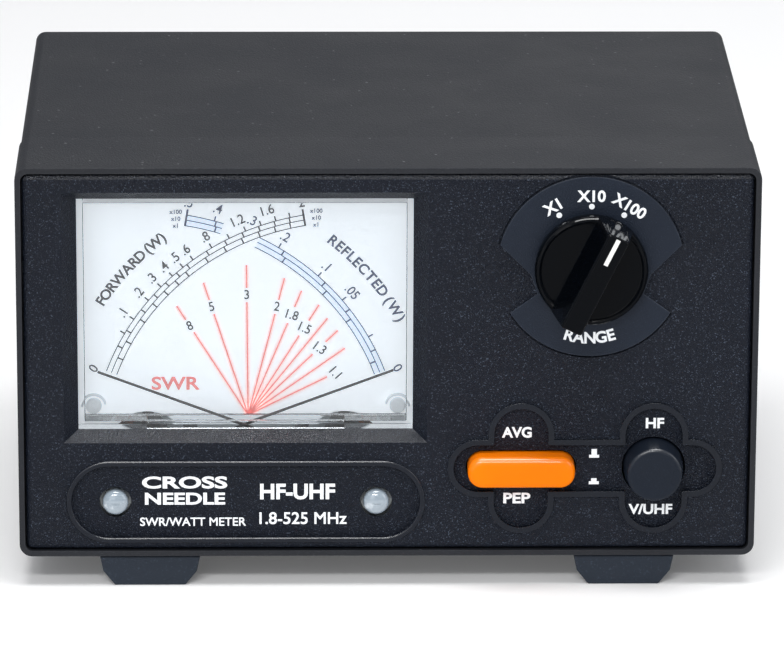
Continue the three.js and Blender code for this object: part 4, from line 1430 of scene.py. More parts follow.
    def name_bead(self) -> Object:
        """A rounded ring around the name area, standing proud of the panel.

        Returns:
            The ring.
        """
        face = self.face()
        ring = self.areas(0, face - self.bead_proud, face + self.floor_depth, slice(0, 1))[0]
        welded(ring, self.weld)
        with editing(ring):
            pick_faces(ring, lambda _, normal: abs(normal.y) > 0.9)
            bpy.ops.mesh.inset(thickness=self.bead_width, use_boundary=True)
            bpy.ops.mesh.bridge_edge_loops()
        ring.name = "name_bead"
        return softened(ring, self.bead_round, 4)

    def key_bead(self) -> Object:
        """A rounded ring around the three joined parts of the switch area.

        Returns:
            The ring.
        """
        face = self.face()
        chosen = slice(1, 4)
        ring, *others = self.areas(0, face - self.bead_proud, face + self.floor_depth, chosen)
        for other in others:
            merge(ring, other, Merge.ADD)
        for floor in self.areas(self.bead_width, face - self.past, face + self.past, chosen):
            merge(ring, floor, Merge.CUT)
        welded(ring, self.weld)
        ring.name = "key_bead"
        return softened(ring, self.bead_round, 4)

    def escutcheon_plate(self) -> Object:
        """The round escutcheon, with a notch at each side that narrows towards the knob.

        Returns:
            The escutcheon.
        """
        face = self.face()
        shaft = middle("range_shaft")
        foot = Vector((shaft.x, face + self.sunk, shaft.z))
        height = self.escutcheon_proud + self.sunk
        plate = drilled("range_escutcheon", foot, FORWARD, self.escutcheon, height, sides=160)
        upper, inner_upper, inner_lower, lower = self.notch_angles
        far = self.escutcheon * 1.3
        for mirror in (False, True):
            corners = [
                self.ring_place(180 - angle if mirror else angle, radius)
                for angle, radius in ((upper, self.escutcheon), (upper, far), (lower, far),
                                      (lower, self.escutcheon), (inner_lower, self.notch_inner),
                                      (inner_upper, self.notch_inner))
            ]
            cut = prism("notch", corners, face - self.past, face + self.past)
            merge(plate, cut, Merge.CUT)
        hole = drilled("hole", foot + BACKWARD * self.past, FORWARD, self.shaft_hole, 3 * self.past)
        merge(plate, hole, Merge.CUT)
        return softened(plate, self.escutcheon_edge, 2)

    def build(self) -> None:
        """Builds the panel, its escutcheon and its legends."""
        dress(self.panel(), SAND, "textured_plastic", "front_panel")
        dress(self.name_bead(), BEAD, "textured_plastic")
        dress(self.key_bead(), BEAD, "textured_plastic")
        dress(self.escutcheon_plate(), ESCUTCHEON, "textured_plastic")
        self.build_legends()

    def build_legends(self) -> None:
        """White legends on the escutcheon, in the switch area and in the name area."""
        self.build_range_legends()
        avg, band = middle("avg_pep_button"), middle("band_button")
        floor = Printer(self.face() + self.floor_depth, bold=0.032)
        keys = around(avg.x, avg.z, self.avg_words) + around(band.x, band.z, self.band_words)
        dress(floor.sheet("key_words", keys), WHITE_INK, "white_inlay")
        half, base, base_height = self.sign_base
        stem, stem_width = self.sign_stem
        x = avg.x + self.sign_x
        signs = []
        for index, (shift, top) in enumerate(self.signs):
            z = avg.z + shift
            ends = ((x - half, z + base), (x + half, z + base))
            signs.append(floor.line(f"sign_base_{index}", *ends, base_height))
            signs.append(floor.line(f"sign_stem_{index}", (x, z + stem), (x, z + top), stem_width))
        dress(joined("key_signs", signs), WHITE_INK, "white_inlay")
        place = middle("meter_cover").x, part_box("bezel_frame")[0].z
        small = Printer(floor.face, bold=0.014)
        for printer, name, words in ((floor, "name_words", self.name_words),
                                     (small, "scale_words", self.scale_words)):
            dress(printer.sheet(name, around(*place, words)), WHITE_INK, "white_inlay")

    def build_range_legends(self) -> None:
        """The range numbers, their dots and the word under the knob."""
        face = self.face() - self.escutcheon_proud
        printer = Printer(face, bold=0.03)
        turns = (-self.range_step, 0, self.range_step)
        numbers = [
            Legend(words, self.range_cap, *self.ring_place(90 - turn, self.range_radius), turn)
            for words, turn in zip(("X1", "X10", "X100"), turns)
        ]
        dress(printer.sheet("range_numbers", numbers), WHITE_INK, "white_inlay")
        dots = []
        for turn in turns:
            x, z = self.ring_place(90 - turn, self.dot_radius)
            foot = Vector((x, face, z))
            dots.append(drilled(f"dot_{turn}", foot, FORWARD, self.dot, self.dot_film, sides=24))
        dress(joined("range_dots", dots), WHITE_INK, "white_inlay")
        letters = [
            Legend(letter, self.word_cap, *self.ring_place(turn - 90, self.word_radius), -turn)
            for letter, turn in zip("RANGE", self.word_turns)
        ]
        dress(printer.sheet("range_word", letters), WHITE_INK, "white_inlay")


# ------------------------------------------------------------------ meter
class Side(Enum):
    """Which of the two movements a thing belongs to."""

    FORWARD = "forward"
    REFLECTED = "reflected"


@dataclass(frozen=True)
class Scale:
    """One of the dial's two power scales, printed about its pointer's pivot."""

    side: Side
    full: float
    marks: tuple[float, ...]
    labels: tuple[float, ...]
    ink: Finish
    drawn: tuple[Pair, ...]
    title_words: str
    title_span: Pair
    rest: float = 20.7
    sweep: float = 60.0
    lines: tuple[float, float, float] = (51.2 * MM, 52.4 * MM, 53.5 * MM)
    lags: tuple[float, float, float] = (7.0, 4.0, 0.0)
    label_radius: float = 56.2 * MM
    label_cap: float = 2.15 * MM
    label_wide: float = 0.92
    nought: Legend = Legend("0", 2.1 * MM, 0, 0)
    nought_turn: float = -0.8
    nought_tilt: float = 0.8
    title_radius: float = 61.3 * MM
    title_cap: float = 2.25 * MM
    thin: float = 0.2 * MM
    tick: float = 1.1 * MM
    mark_share: float = 1.6
    end_share: float = 2.2
    end_reach: Pair = (0.1 * MM, 1.3 * MM)
    nudges: dict[float, float] = field(default_factory=dict)

    def pivot(self, joints: Sequence[dict]) -> Vector:
        """The pointer's pivot, from its joint."""
        name = f"{self.side.value}_swing"
        return Vector(next(joint["pos_m"] for joint in joints if joint["name"] == name))

    def angle(self, turn: float) -> float:
        """The printing angle of a pointer's turn, anticlockwise from the right."""
        lift = self.rest + turn
        return 180 - lift if self.side is Side.FORWARD else lift

    def turn(self, power: float) -> float:
        """A pointer's turn at a power, by the square-root law of its detector."""
        return self.sweep * math.sqrt(power / self.full)

    def place(self, pivot: Vector, turn: float, radius: float) -> Pair:
        """A place on the dial, in X and Z."""
        angle = math.radians(self.angle(turn))
        return (pivot.x + radius * math.cos(angle), pivot.z + radius * math.sin(angle))

    def upright(self, turn: float) -> float:
        """The clockwise tilt that points a letter's top away from the pivot."""
        return 90 - self.angle(turn)

    def label(self, power: float) -> str:
        """A number as it is printed, without a leading nought."""
        return f"{power:g}".removeprefix("0") or "0"

    def print(self, printer: Printer, pivot: Vector) -> list[Object]:
        """The scale's lines, marks and end bar.

        Args:
            printer: what prints it.
            pivot: the pointer's pivot.

        Returns:
            The films.
        """
        films = []
        name = self.side.value
        for start, end in self.drawn:
            for radius in self.lines:
                angles = (self.angle(start), self.angle(end))
                films.append(printer.arc(f"{name}_line", pivot, radius, self.thin, angles))
        inner, centre, outer = self.lines
        spans = ((inner, centre), (centre, outer), (outer, outer + self.tick))
        for power in self.marks:
            turn = self.turn(power)
            for (low, high), lag in zip(spans, self.lags):
                late = turn - lag * (1 - turn / self.sweep)
                if any(start <= late <= end for start, end in self.drawn):
                    films.append(printer.line(
                        f"{name}_mark", self.place(pivot, late, low), self.place(pivot, late, high),
                        self.mark_share * self.thin,
                    ))
        below, above = self.end_reach
        films.append(printer.line(
            f"{name}_end", self.place(pivot, self.sweep, inner - below),
            self.place(pivot, self.sweep, outer + above), self.end_share * self.thin,
        ))
        return films

    def legends(self, pivot: Vector) -> list[Legend]:
        """The scale's numbers, the nought last.

        Args:
            pivot: the pointer's pivot.

        Returns:
            The numbers.
        """
        made = []
        for power in self.labels:
            turn = self.turn(power) + self.nudges.get(power, 0)
            x, z = self.place(pivot, turn, self.label_radius)
            tilt = self.upright(turn)
            made.append(Legend(self.label(power), self.label_cap, x, z, tilt, self.label_wide))
        x, z = self.place(pivot, self.nought_turn, self.label_radius)
        made.append(replace(self.nought, x=x, z=z, tilt=self.upright(0) * self.nought_tilt))
        return made

    def title(self, pivot: Vector, printer: Printer) -> list[Legend]:
        """The scale's name written round it, letter by letter, each as wide as it needs.

        Args:
            pivot: the pointer's pivot.
            printer: what prints it.

        Returns:
            The letters.
        """
        widths = [printer.width(letter, self.title_cap) for letter in self.title_words]
        at, last = self.title_span
        step = (last - at) / sum(widths)
        made = []
        for letter, width in zip(self.title_words, widths):
            turn = at + step * width / 2
            x, z = self.place(pivot, turn, self.title_radius)
            if letter != " ":
                made.append(Legend(letter, self.title_cap, x, z, self.upright(turn)))
            at += step * width
        return made


@dataclass(frozen=True)
class StandingWaveLine:
    """A straight line of one standing-wave ratio, broken by its number."""

    number: str
    x: float
    z: float
    far: float


@dataclass(frozen=True)
class Meter:
    """The clear cover, the printed dial, two pointers, their movements and their zero adjusters."""

    joints: tuple[dict, ...]
    dial_corner: float = 0.6 * MM
    movement_hole: float = 9.6 * MM
    hub_x: float = 0.5 * MM
    hub_z: float = 8.8 * MM
    needle_width: float = 0.62 * MM
    needle_tip: float = 0.8
    pivot_boss: float = 1.8 * MM
    dome: float = 2.72 * MM
    dome_rise: float = 1.5 * MM
    dome_slot: float = 0.4 * MM
    dome_slot_depth: float = 0.16 * MM
    dome_neck: float = 0.55
    dome_collar: float = 1.6 * MM
    cover_edge: float = 0.2 * MM
    dial_edge: float = 0.1 * MM
    halo_film: float = 0.02 * MM
    multiple_cap: float = 0.95 * MM
    multiple_row: float = 1.5 * MM
    multiple_places: tuple[Pair, ...] = ((-44.3 * MM, -5.5 * MM), (-14.9 * MM, -5.3 * MM))
    ratio_lines: tuple[StandingWaveLine, ...] = (
        StandingWaveLine("8", -41.5 * MM, 54.5 * MM, 28.4 * MM),
        StandingWaveLine("5", -36.9 * MM, 58.7 * MM, 30.7 * MM),
        StandingWaveLine("3", -29.5 * MM, 61.3 * MM, 33.1 * MM),
        StandingWaveLine("2", -23.2 * MM, 58.7 * MM, 31.2 * MM),
        StandingWaveLine("1.8", -20.2 * MM, 56.9 * MM, 29.7 * MM),
        StandingWaveLine("1.5", -17.5 * MM, 54.0 * MM, 28.6 * MM),
        StandingWaveLine("", -15.8 * MM, 52.0 * MM, 27.2 * MM),
        StandingWaveLine("1.3", -14.3 * MM, 49.6 * MM, 26.6 * MM),
        StandingWaveLine("", -12.4 * MM, 47.0 * MM, 25.2 * MM),
        StandingWaveLine("1.1", -10.9 * MM, 44.1 * MM, 20.6 * MM),
    )
    ratio_start: float = 0.2 * MM
    ratio_width: float = 0.26 * MM
    ratio_halo: float = 1.05 * MM
    ratio_gaps: Pair = (1.55 * MM, 1.9 * MM)
    ratio_number: Legend = Legend("", 2.1 * MM, 0, 0, 0.75, 0.9)
    ratio_word: Legend = Legend("SWR", 2.9 * MM, -15.4 * MM, 6.9 * MM, 0, 1.2)
    blade_sink: float = 0.2 * MM
    blade_half: float = 0.15 * MM
    blade_edge: float = 0.05 * MM
    tail: float = 7.6 * MM
    weight_half: float = 0.9 * MM
    weight_length: float = 2.6 * MM
    weight_corner: float = 0.5 * MM
    boss_share: float = 0.6
    post: tuple[Pair, ...] = (
        (0.5, 1.1 * MM), (1, 1.0 * MM), (1, 0.3 * MM), (0.85, 0.05 * MM), (0.3, 0),
    )
    clip_gaps: Pair = (0.5 * MM, 1.0 * MM)
    clip_depth: Pair = (1.1 * MM, 0.1 * MM)
    clip_angles: Pair = (8, 172)
    clip_edge: float = 0.12 * MM

    def scales(self) -> tuple[Scale, Scale]:
        """The forward and the reflected scale.

        Returns:
            The two scales.
        """
        forward = Scale(
            Side.FORWARD, 2.0, (0.05, 0.1, 0.2, 0.3, 0.4, 0.5, 0.6, 0.8, 1.0, 1.2, 1.4, 1.6, 1.8),
            (0.1, 0.2, 0.3, 0.4, 0.5, 0.6, 0.8, 1.2, 1.6, 2.0), BLACK_INK, ((-0.4, 60),),
            "FORWARD (W)", (12.2, 31.4), nudges={1.2: -0.8, 1.6: -1.3},
        )
        reflected = Scale(
            Side.REFLECTED, 0.5, (0.01, 0.05, 0.1, 0.2, 0.3, 0.4), (0.05, 0.1, 0.2, 0.3, 0.4, 0.5),
            BLUE_INK, ((-0.4, 42.8), (51.5, 60)), "REFLECTED (W)", (30.6, 8.0), nudges={0.3: -0.6},
        )
        return forward, reflected

    def build(self) -> None:
        """Builds the meter from its clear cover back to its housing."""
        cover = refined("clear_cover", "meter_cover", self.cover_edge, 3)
        dress(cover, CLEAR, "clear_plastic", "meter_cover")
        self.build_dial()
        self.build_print()
        for side in Side:
            self.build_pointer(side)
            carry(f"{side.value}_coil", COPPER)
            carry(f"{side.value}_magnet", MAGNET)
        self.build_adjusters()
        self.build_dial_screws()
        carry("movement_cover", WHITE)
        carry("meter_housing", WHITE)
        carry("lamp_board", BOARD)

    def build_dial(self) -> None:
        """The dial card, with a round hole in front of each movement."""
        low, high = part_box("dial_plate")
        card = rounded_block("dial_card", low, high, self.dial_corner, steps=6)
        for scale in self.scales():
            pivot = scale.pivot(self.joints)
            foot = Vector((pivot.x, low.y - MM, pivot.z))
            depth = high.y - low.y + 2 * MM
            hole = drilled("hole", foot, BACKWARD, self.movement_hole, depth, sides=96)
            merge(card, hole, Merge.CUT)
        dress(softened(card, self.dial_edge), CARD, "white_plastic", "dial_plate")

    def build_print(self) -> None:
        """The two power scales, their names and the standing-wave lines."""
        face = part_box("dial_plate")[0].y
        printer = Printer(face, bold=0.012)
        bold = Printer(face, bold=0.026)
        for scale in self.scales():
            pivot = scale.pivot(self.joints)
            name = scale.side.value
            films = scale.print(printer, pivot)
            dress(joined(f"{name}_scale", films), scale.ink, "white_plastic")
            numbers = printer.sheet(f"{name}_numbers", scale.legends(pivot))
            dress(numbers, scale.ink, "white_plastic")
        for scale in self.scales():
            title = scale.title(scale.pivot(self.joints), bold)
            dress(bold.sheet(f"{scale.side.value}_title", title), scale.ink, "white_plastic")
        reflected = self.scales()[1]
        pivot = reflected.pivot(self.joints)
        inner, _, outer = reflected.lines
        depth = (face - self.halo_film, face)
        band = [
            swept("band", pivot, (inner, outer), depth, (reflected.angle(start), reflected.angle(end)))
            for start, end in reflected.drawn
        ]
        dress(joined("reflected_band", band), PALE_INK, "white_plastic")
        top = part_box("meter_cover")[1].z
        multiples = [
            Legend(words, self.multiple_cap, x, top + down - self.multiple_row * row)
            for x, down in self.multiple_places
            for row, words in enumerate(("x100", "x10", "x1"))
        ]
        dress(bold.sheet("multiplier_marks", multiples), BLUE_INK, "white_plastic")
        self.build_ratio_lines(printer, bold)

    def build_ratio_lines(self, printer: Printer, bold: Printer) -> None:
        """Red lines of equal standing-wave ratio, from a hub between the pivots.

        Args:
            printer: prints the lines and their numbers.
            bold: prints their title.
        """
        first, second = (scale.pivot(self.joints) for scale in self.scales())
        hub = Vector(((first.x + second.x) / 2 + self.hub_x, 0, first.z + self.hub_z))
        halo = Printer(printer.face, film=self.halo_film)
        number = self.ratio_number
        films, numbers, glow = [], [], []
        for line in self.ratio_lines:
            way = Vector((line.x - hub.x, 0, line.z - hub.z))
            reach = way.length
            way.normalize()
            spans = [(self.ratio_start, line.far)]
            if line.number:
                gap = self.ratio_gaps[len(line.number) > 1]
                spans = [(self.ratio_start, reach - gap), (reach + gap, line.far)]
                tilt = math.degrees(math.atan2(way.x, way.z)) * number.tilt
                numbers.append(replace(number, words=line.number, x=line.x, z=line.z, tilt=tilt))
            for low, high in spans:
                if high > low:
                    ends = [(spot.x, spot.z) for spot in (hub + way * low, hub + way * high)]
                    films.append(printer.line("ratio", *ends, self.ratio_width))
                    glow.append(halo.line("halo", *ends, self.ratio_halo))
        dress(joined("ratio_lines", films), RED_INK, "white_plastic")
        dress(joined("ratio_halo", glow), ROSE_INK, "white_plastic")
        dress(printer.sheet("ratio_numbers", numbers), BLACK_INK, "white_plastic")
        word = bold.sheet("ratio_word", around(hub.x, hub.z, [self.ratio_word]))
        dress(word, RED_WORD_INK, "white_plastic")

    def build_pointer(self, side: Side) -> None:
        """A tapered blade with its boss and its balance tail, lying at rest.

        Args:
            side: which movement it belongs to.
        """
        scale = next(scale for scale in self.scales() if scale.side is side)
        pivot = scale.pivot(self.joints)
        low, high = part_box(f"{side.value}_needle")
        plane = low.y + self.blade_sink
        depth = (plane - self.blade_half, plane + self.blade_half)
        reach = math.hypot(max(pivot.x - low.x, high.x - pivot.x), high.z - pivot.z)
        tail = self.tail
        blade = block(
            f"{side.value}_pointer_blade",
            (-tail, depth[0], -self.needle_width / 2), (reach, depth[1], self.needle_width / 2),
        )
        with editing(blade):
            pick_faces(blade, lambda _, normal: normal.x > 0.9)
            bpy.ops.transform.resize(value=(1, 1, self.needle_tip), center_override=(reach, plane, 0))
        weight = rounded_block(
            "weight", (-tail, depth[0], -self.weight_half),
            (-tail + self.weight_length, depth[1], self.weight_half), self.weight_corner, steps=6,
        )
        merge(blade, weight, Merge.ADD)
        boss = turned("boss", Vector((0, high.y, 0)), FORWARD, [
            (self.pivot_boss, 0), (self.pivot_boss, high.y - depth[0]),
            (self.boss_share * self.pivot_boss, high.y - low.y),
        ], sides=32)
        merge(blade, boss, Merge.ADD)
        only(blade)
        blade.rotation_euler = (0, -math.radians(scale.angle(0)), 0)
        blade.location = (pivot.x, 0, pivot.z)
        name = blade.name
        softened(settled(name), self.blade_edge)
        dress(blade, NEEDLE, "needle_metal", f"{side.value}_needle", body=f"{side.value}_pointer")

    def build_adjusters(self) -> None:
        """Pearly domed zero screws with a fine slot."""
        for side in ("left", "right"):
            node = f"zero_adjuster_{side}"
            low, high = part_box(node)
            centre = (low + high) / 2
            foot = Vector((centre.x, high.y, centre.z))
            length = high.y - low.y
            rise = self.dome_rise
            neck = self.dome_neck * self.dome
            collar = length - rise - self.dome_collar
            rows = [(neck, 0), (neck, collar), (self.dome, collar), (self.dome, length - rise)]
            for turn in range(12, 85, 12):
                angle = math.radians(turn)
                rows.append((self.dome * math.cos(angle), length - rise + rise * math.sin(angle)))
            screw = turned(f"zero_screw_{side}", foot, FORWARD, rows, sides=64)
            slot = block(
                "slot",
                (centre.x - self.dome, low.y - MM, centre.z - self.dome_slot / 2),
                (centre.x + self.dome, low.y + self.dome_slot_depth, centre.z + self.dome_slot / 2),
            )
            smooth(merge(screw, slot, Merge.CUT))
            dress(screw, PEARL, "pearl_plastic", node, body=f"{side}_zero_screw")

    def build_dial_screws(self) -> None:
        """White screws that hold the dial, each under a pale arched clip."""
        for side in ("left", "right"):
            node = f"dial_screw_{side}"
            low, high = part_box(node)
            centre = (low + high) / 2
            head = (high.x - low.x) / 2
            foot = Vector((centre.x, high.y, centre.z))
            length = high.y - low.y
            rows = [(share * head, length - down) for share, down in self.post]
            foot_row = (rows[0][0], 0)
            screw = turned(f"dial_post_{side}", foot, FORWARD, [foot_row] + rows, sides=40)
            dress(smooth(screw), PAINTED_GLOW_WHITE, "white_plastic", node)
            radii = tuple(head + gap for gap in self.clip_gaps)
            depth = tuple(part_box("dial_plate")[0].y - down for down in self.clip_depth)
            clip = swept(f"dial_clip_{side}", centre, radii, depth, self.clip_angles, 24)
            dress(softened(clip, self.clip_edge), PAINTED_GLOW_WHITE, "white_plastic")


# ------------------------------------------------------------------ range selector
@dataclass(frozen=True)
class RangeSelector:
    """The pointer knob with its white line, and the rotary switch behind the panel."""

    body: str = "range_selector"
    grip_base: float = 8.2 * MM
    grip_top: float = 4.6 * MM
    grip_edge: float = 0.5 * MM
    grip_taper: float = 0.9625
    grip_lead: float = 0.867
    pointing: float = 26.0
    line_width: float = 0.95 * MM
    line_radii: Pair = (5.0 * MM, 11.2 * MM)
    line_gap: float = 0.05 * MM
    line_sink: float = 0.02 * MM
    line_depth: float = 0.45 * MM
    line_edge: float = 0.08 * MM
    seat_gap: float = 0.06 * MM
    seat_depth: float = 0.5 * MM
    skirt: float = 11.8 * MM
    skirt_rows: tuple[Pair, ...] = (
        (0.5, 0), (0.1, 0.25), (0, 0.7), (0, 2.1), (0.12, 2.55), (0.45, 2.9), (0.85, 3.0),
        (1.15, 2.85), (1.3, 2.55), (1.6, 2.45), (3.0, 2.5), (9.8, 2.6),
    )
    hollow: Pair = (9.6 * MM, 2.6 * MM)
    grip_inset: float = 0.2 * MM
    grip_sink: float = 1.2 * MM
    round_inset: float = 0.05 * MM
    bore_gap: float = 0.15 * MM
    bore_end: float = 0.3 * MM

    def build(self) -> None:
        """Builds the knob and finishes the pieces behind it."""
        dress(self.knob(), KNOB, "knob_plastic", "range_knob", body=self.body)
        dress(self.pointer_line(), INLAY, "white_inlay", "range_pointer_line", body=self.body)
        shaft = refined("switch_shaft", "range_shaft", 0.2 * MM)
        dress(shaft, ZINC, "zinc_steel", "range_shaft", body=self.body)
        nut = refined("panel_nut", "range_nut", 0.15 * MM)
        dress(nut, NICKEL, "nickel", "range_nut")
        carry("range_switch_body", ZINC)

    def turned_to_point(self, piece: Object) -> Object:
        """Turns a piece made upright about the origin to where the knob points, on the shaft.

        Args:
            piece: the piece.

        Returns:
            The piece.
        """
        shaft = middle("range_shaft")
        name = piece.name
        only(piece)
        piece.rotation_euler = (0, math.radians(self.pointing), 0)
        piece.location = (shaft.x, 0, shaft.z)
        return settled(name)

    def knob(self) -> Object:
        """A round skirt with a rolled rim, and a tapered grip across it.

        Returns:
            The knob.
        """
        low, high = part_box("range_knob")
        radius = self.skirt
        foot = Vector((0, high.y, 0))
        rows = [(radius - inset * MM, ahead * MM) for inset, ahead in self.skirt_rows]
        skirt = turned("range_knob_moulding", foot, FORWARD, rows, sides=128)
        merge(skirt, drilled("hollow", foot - FORWARD * MM, FORWARD, *self.hollow), Merge.CUT)
        reach = radius - self.grip_inset
        base = high.y - self.grip_sink
        grip = block("grip", (-self.grip_base / 2, low.y, -reach), (self.grip_base / 2, base, reach))
        with editing(grip):
            pick_faces(grip, lambda _, normal: normal.y < -0.9)
            bpy.ops.transform.resize(
                value=(self.grip_top / self.grip_base, 1, self.grip_taper),
                center_override=(0, low.y, self.grip_lead * reach),
            )
        with editing(grip, "EDGE"):
            pick_edges(grip, lambda place, _: place.y < base - self.grip_inset)
            bpy.ops.mesh.bevel(offset=self.grip_edge, segments=5, affect="EDGES")
        behind = foot - FORWARD * MM
        length = high.y + 2 * MM - low.y
        round_end = drilled("round_end", behind, FORWARD, radius - self.round_inset, length, sides=128)
        merge(grip, round_end, Merge.KEEP)
        merge(skirt, grip, Merge.ADD)
        shaft_low, shaft_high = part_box("range_shaft")
        bore = (shaft_high.x - shaft_low.x) / 2 + self.bore_gap
        length = high.y + MM - shaft_low.y + self.bore_end
        merge(skirt, drilled("bore", behind, FORWARD, bore, length, sides=48), Merge.CUT)
        inner, outer = self.line_radii
        half = self.line_width / 2 + self.seat_gap
        seat = block("seat", (-half, low.y - MM, inner), (half, low.y + self.seat_depth, outer))
        merge(skirt, seat, Merge.CUT)
        return smooth(self.turned_to_point(skirt))

    def pointer_line(self) -> Object:
        """The white line let into the grip's top.

        Returns:
            The line.
        """
        low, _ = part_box("range_knob")
        inner, outer = self.line_radii
        half = self.line_width / 2
        line = block(
            "range_line_inlay",
            (-half, low.y + self.line_sink, inner + self.line_gap),
            (half, low.y + self.line_depth, outer - self.line_gap),
        )
        softened(line, self.line_edge)
        return self.turned_to_point(line)


# ------------------------------------------------------------------ push keys
@dataclass(frozen=True)
class PushKeys:
    """The two push keys, their plungers and the latching switches on their board."""

    pill_corner: float = 3.1 * MM
    pill_edge: float = 1.5 * MM
    pill_inset: float = 0.9 * MM
    round_edge: float = 0.9 * MM
    round_draw: float = 0.45 * MM
    round_chamfer: float = 0.3 * MM
    round_straight: float = 5.0 * MM
    dish: tuple[Pair, ...] = ((0.5, 0.12 * MM), (0.15, 0.16 * MM))
    dish_start: Pair = (1.6, 0.02 * MM)

    def build(self) -> None:
        """Builds both keys and finishes what is behind them."""
        dress(self.pill(), ORANGE, "orange_plastic", "avg_pep_button", body="avg_pep_key")
        dress(self.round_key(), BUTTON, "button_plastic", "band_button", body="band_key")
        for key in ("avg_pep", "band"):
            body = f"{key}_key"
            node = f"{key}_plunger"
            plunger = refined(f"{key}_key_plunger", node, 0.2 * MM)
            dress(plunger, WHITE, "white_plastic", node, body=body)
            carry(f"{key}_switch", SWITCH)
        carry("switch_board", BOARD)

    def pill(self) -> Object:
        """The long key, with rounded corners and a rolled edge.

        Returns:
            The key.
        """
        low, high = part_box("avg_pep_button")
        key = rounded_block("avg_pep_key_cap", low, high, self.pill_corner, steps=12)
        with editing(key, "EDGE"):
            pick_edges(key, lambda place, way: place.y < low.y + 0.01 * MM and abs(way.y) < 0.1)
            bpy.ops.mesh.bevel(offset=self.pill_edge, segments=8, affect="EDGES")
        with editing(key):
            pick_faces(key, lambda place, normal: normal.y < -0.99 and place.y < low.y + 0.01 * MM)
            bpy.ops.mesh.inset(thickness=self.pill_inset)
        return smooth(key)

    def round_key(self) -> Object:
        """The round key, drawn in towards its face, with a rolled edge and a dished top.

        Returns:
            The key.
        """
        low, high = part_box("band_button")
        radius = (high.x - low.x) / 2
        centre = (low + high) / 2
        foot = Vector((centre.x, high.y, centre.z))
        length = high.y - low.y
        top = radius - self.round_draw
        edge = self.round_edge
        chamfer = self.round_chamfer
        rows = [(radius - chamfer, 0), (radius, chamfer), (radius, length - self.round_straight),
                (top, length - edge)]
        for turn in range(15, 91, 15):
            angle = math.radians(turn)
            rows.append((top - edge + edge * math.cos(angle), length - edge + edge * math.sin(angle)))
        share, down = self.dish_start
        rows.append((top - share * edge, length - down))
        rows += [(share * radius, length - down) for share, down in self.dish]
        return smooth(turned("band_key_cap", foot, FORWARD, rows, sides=96))


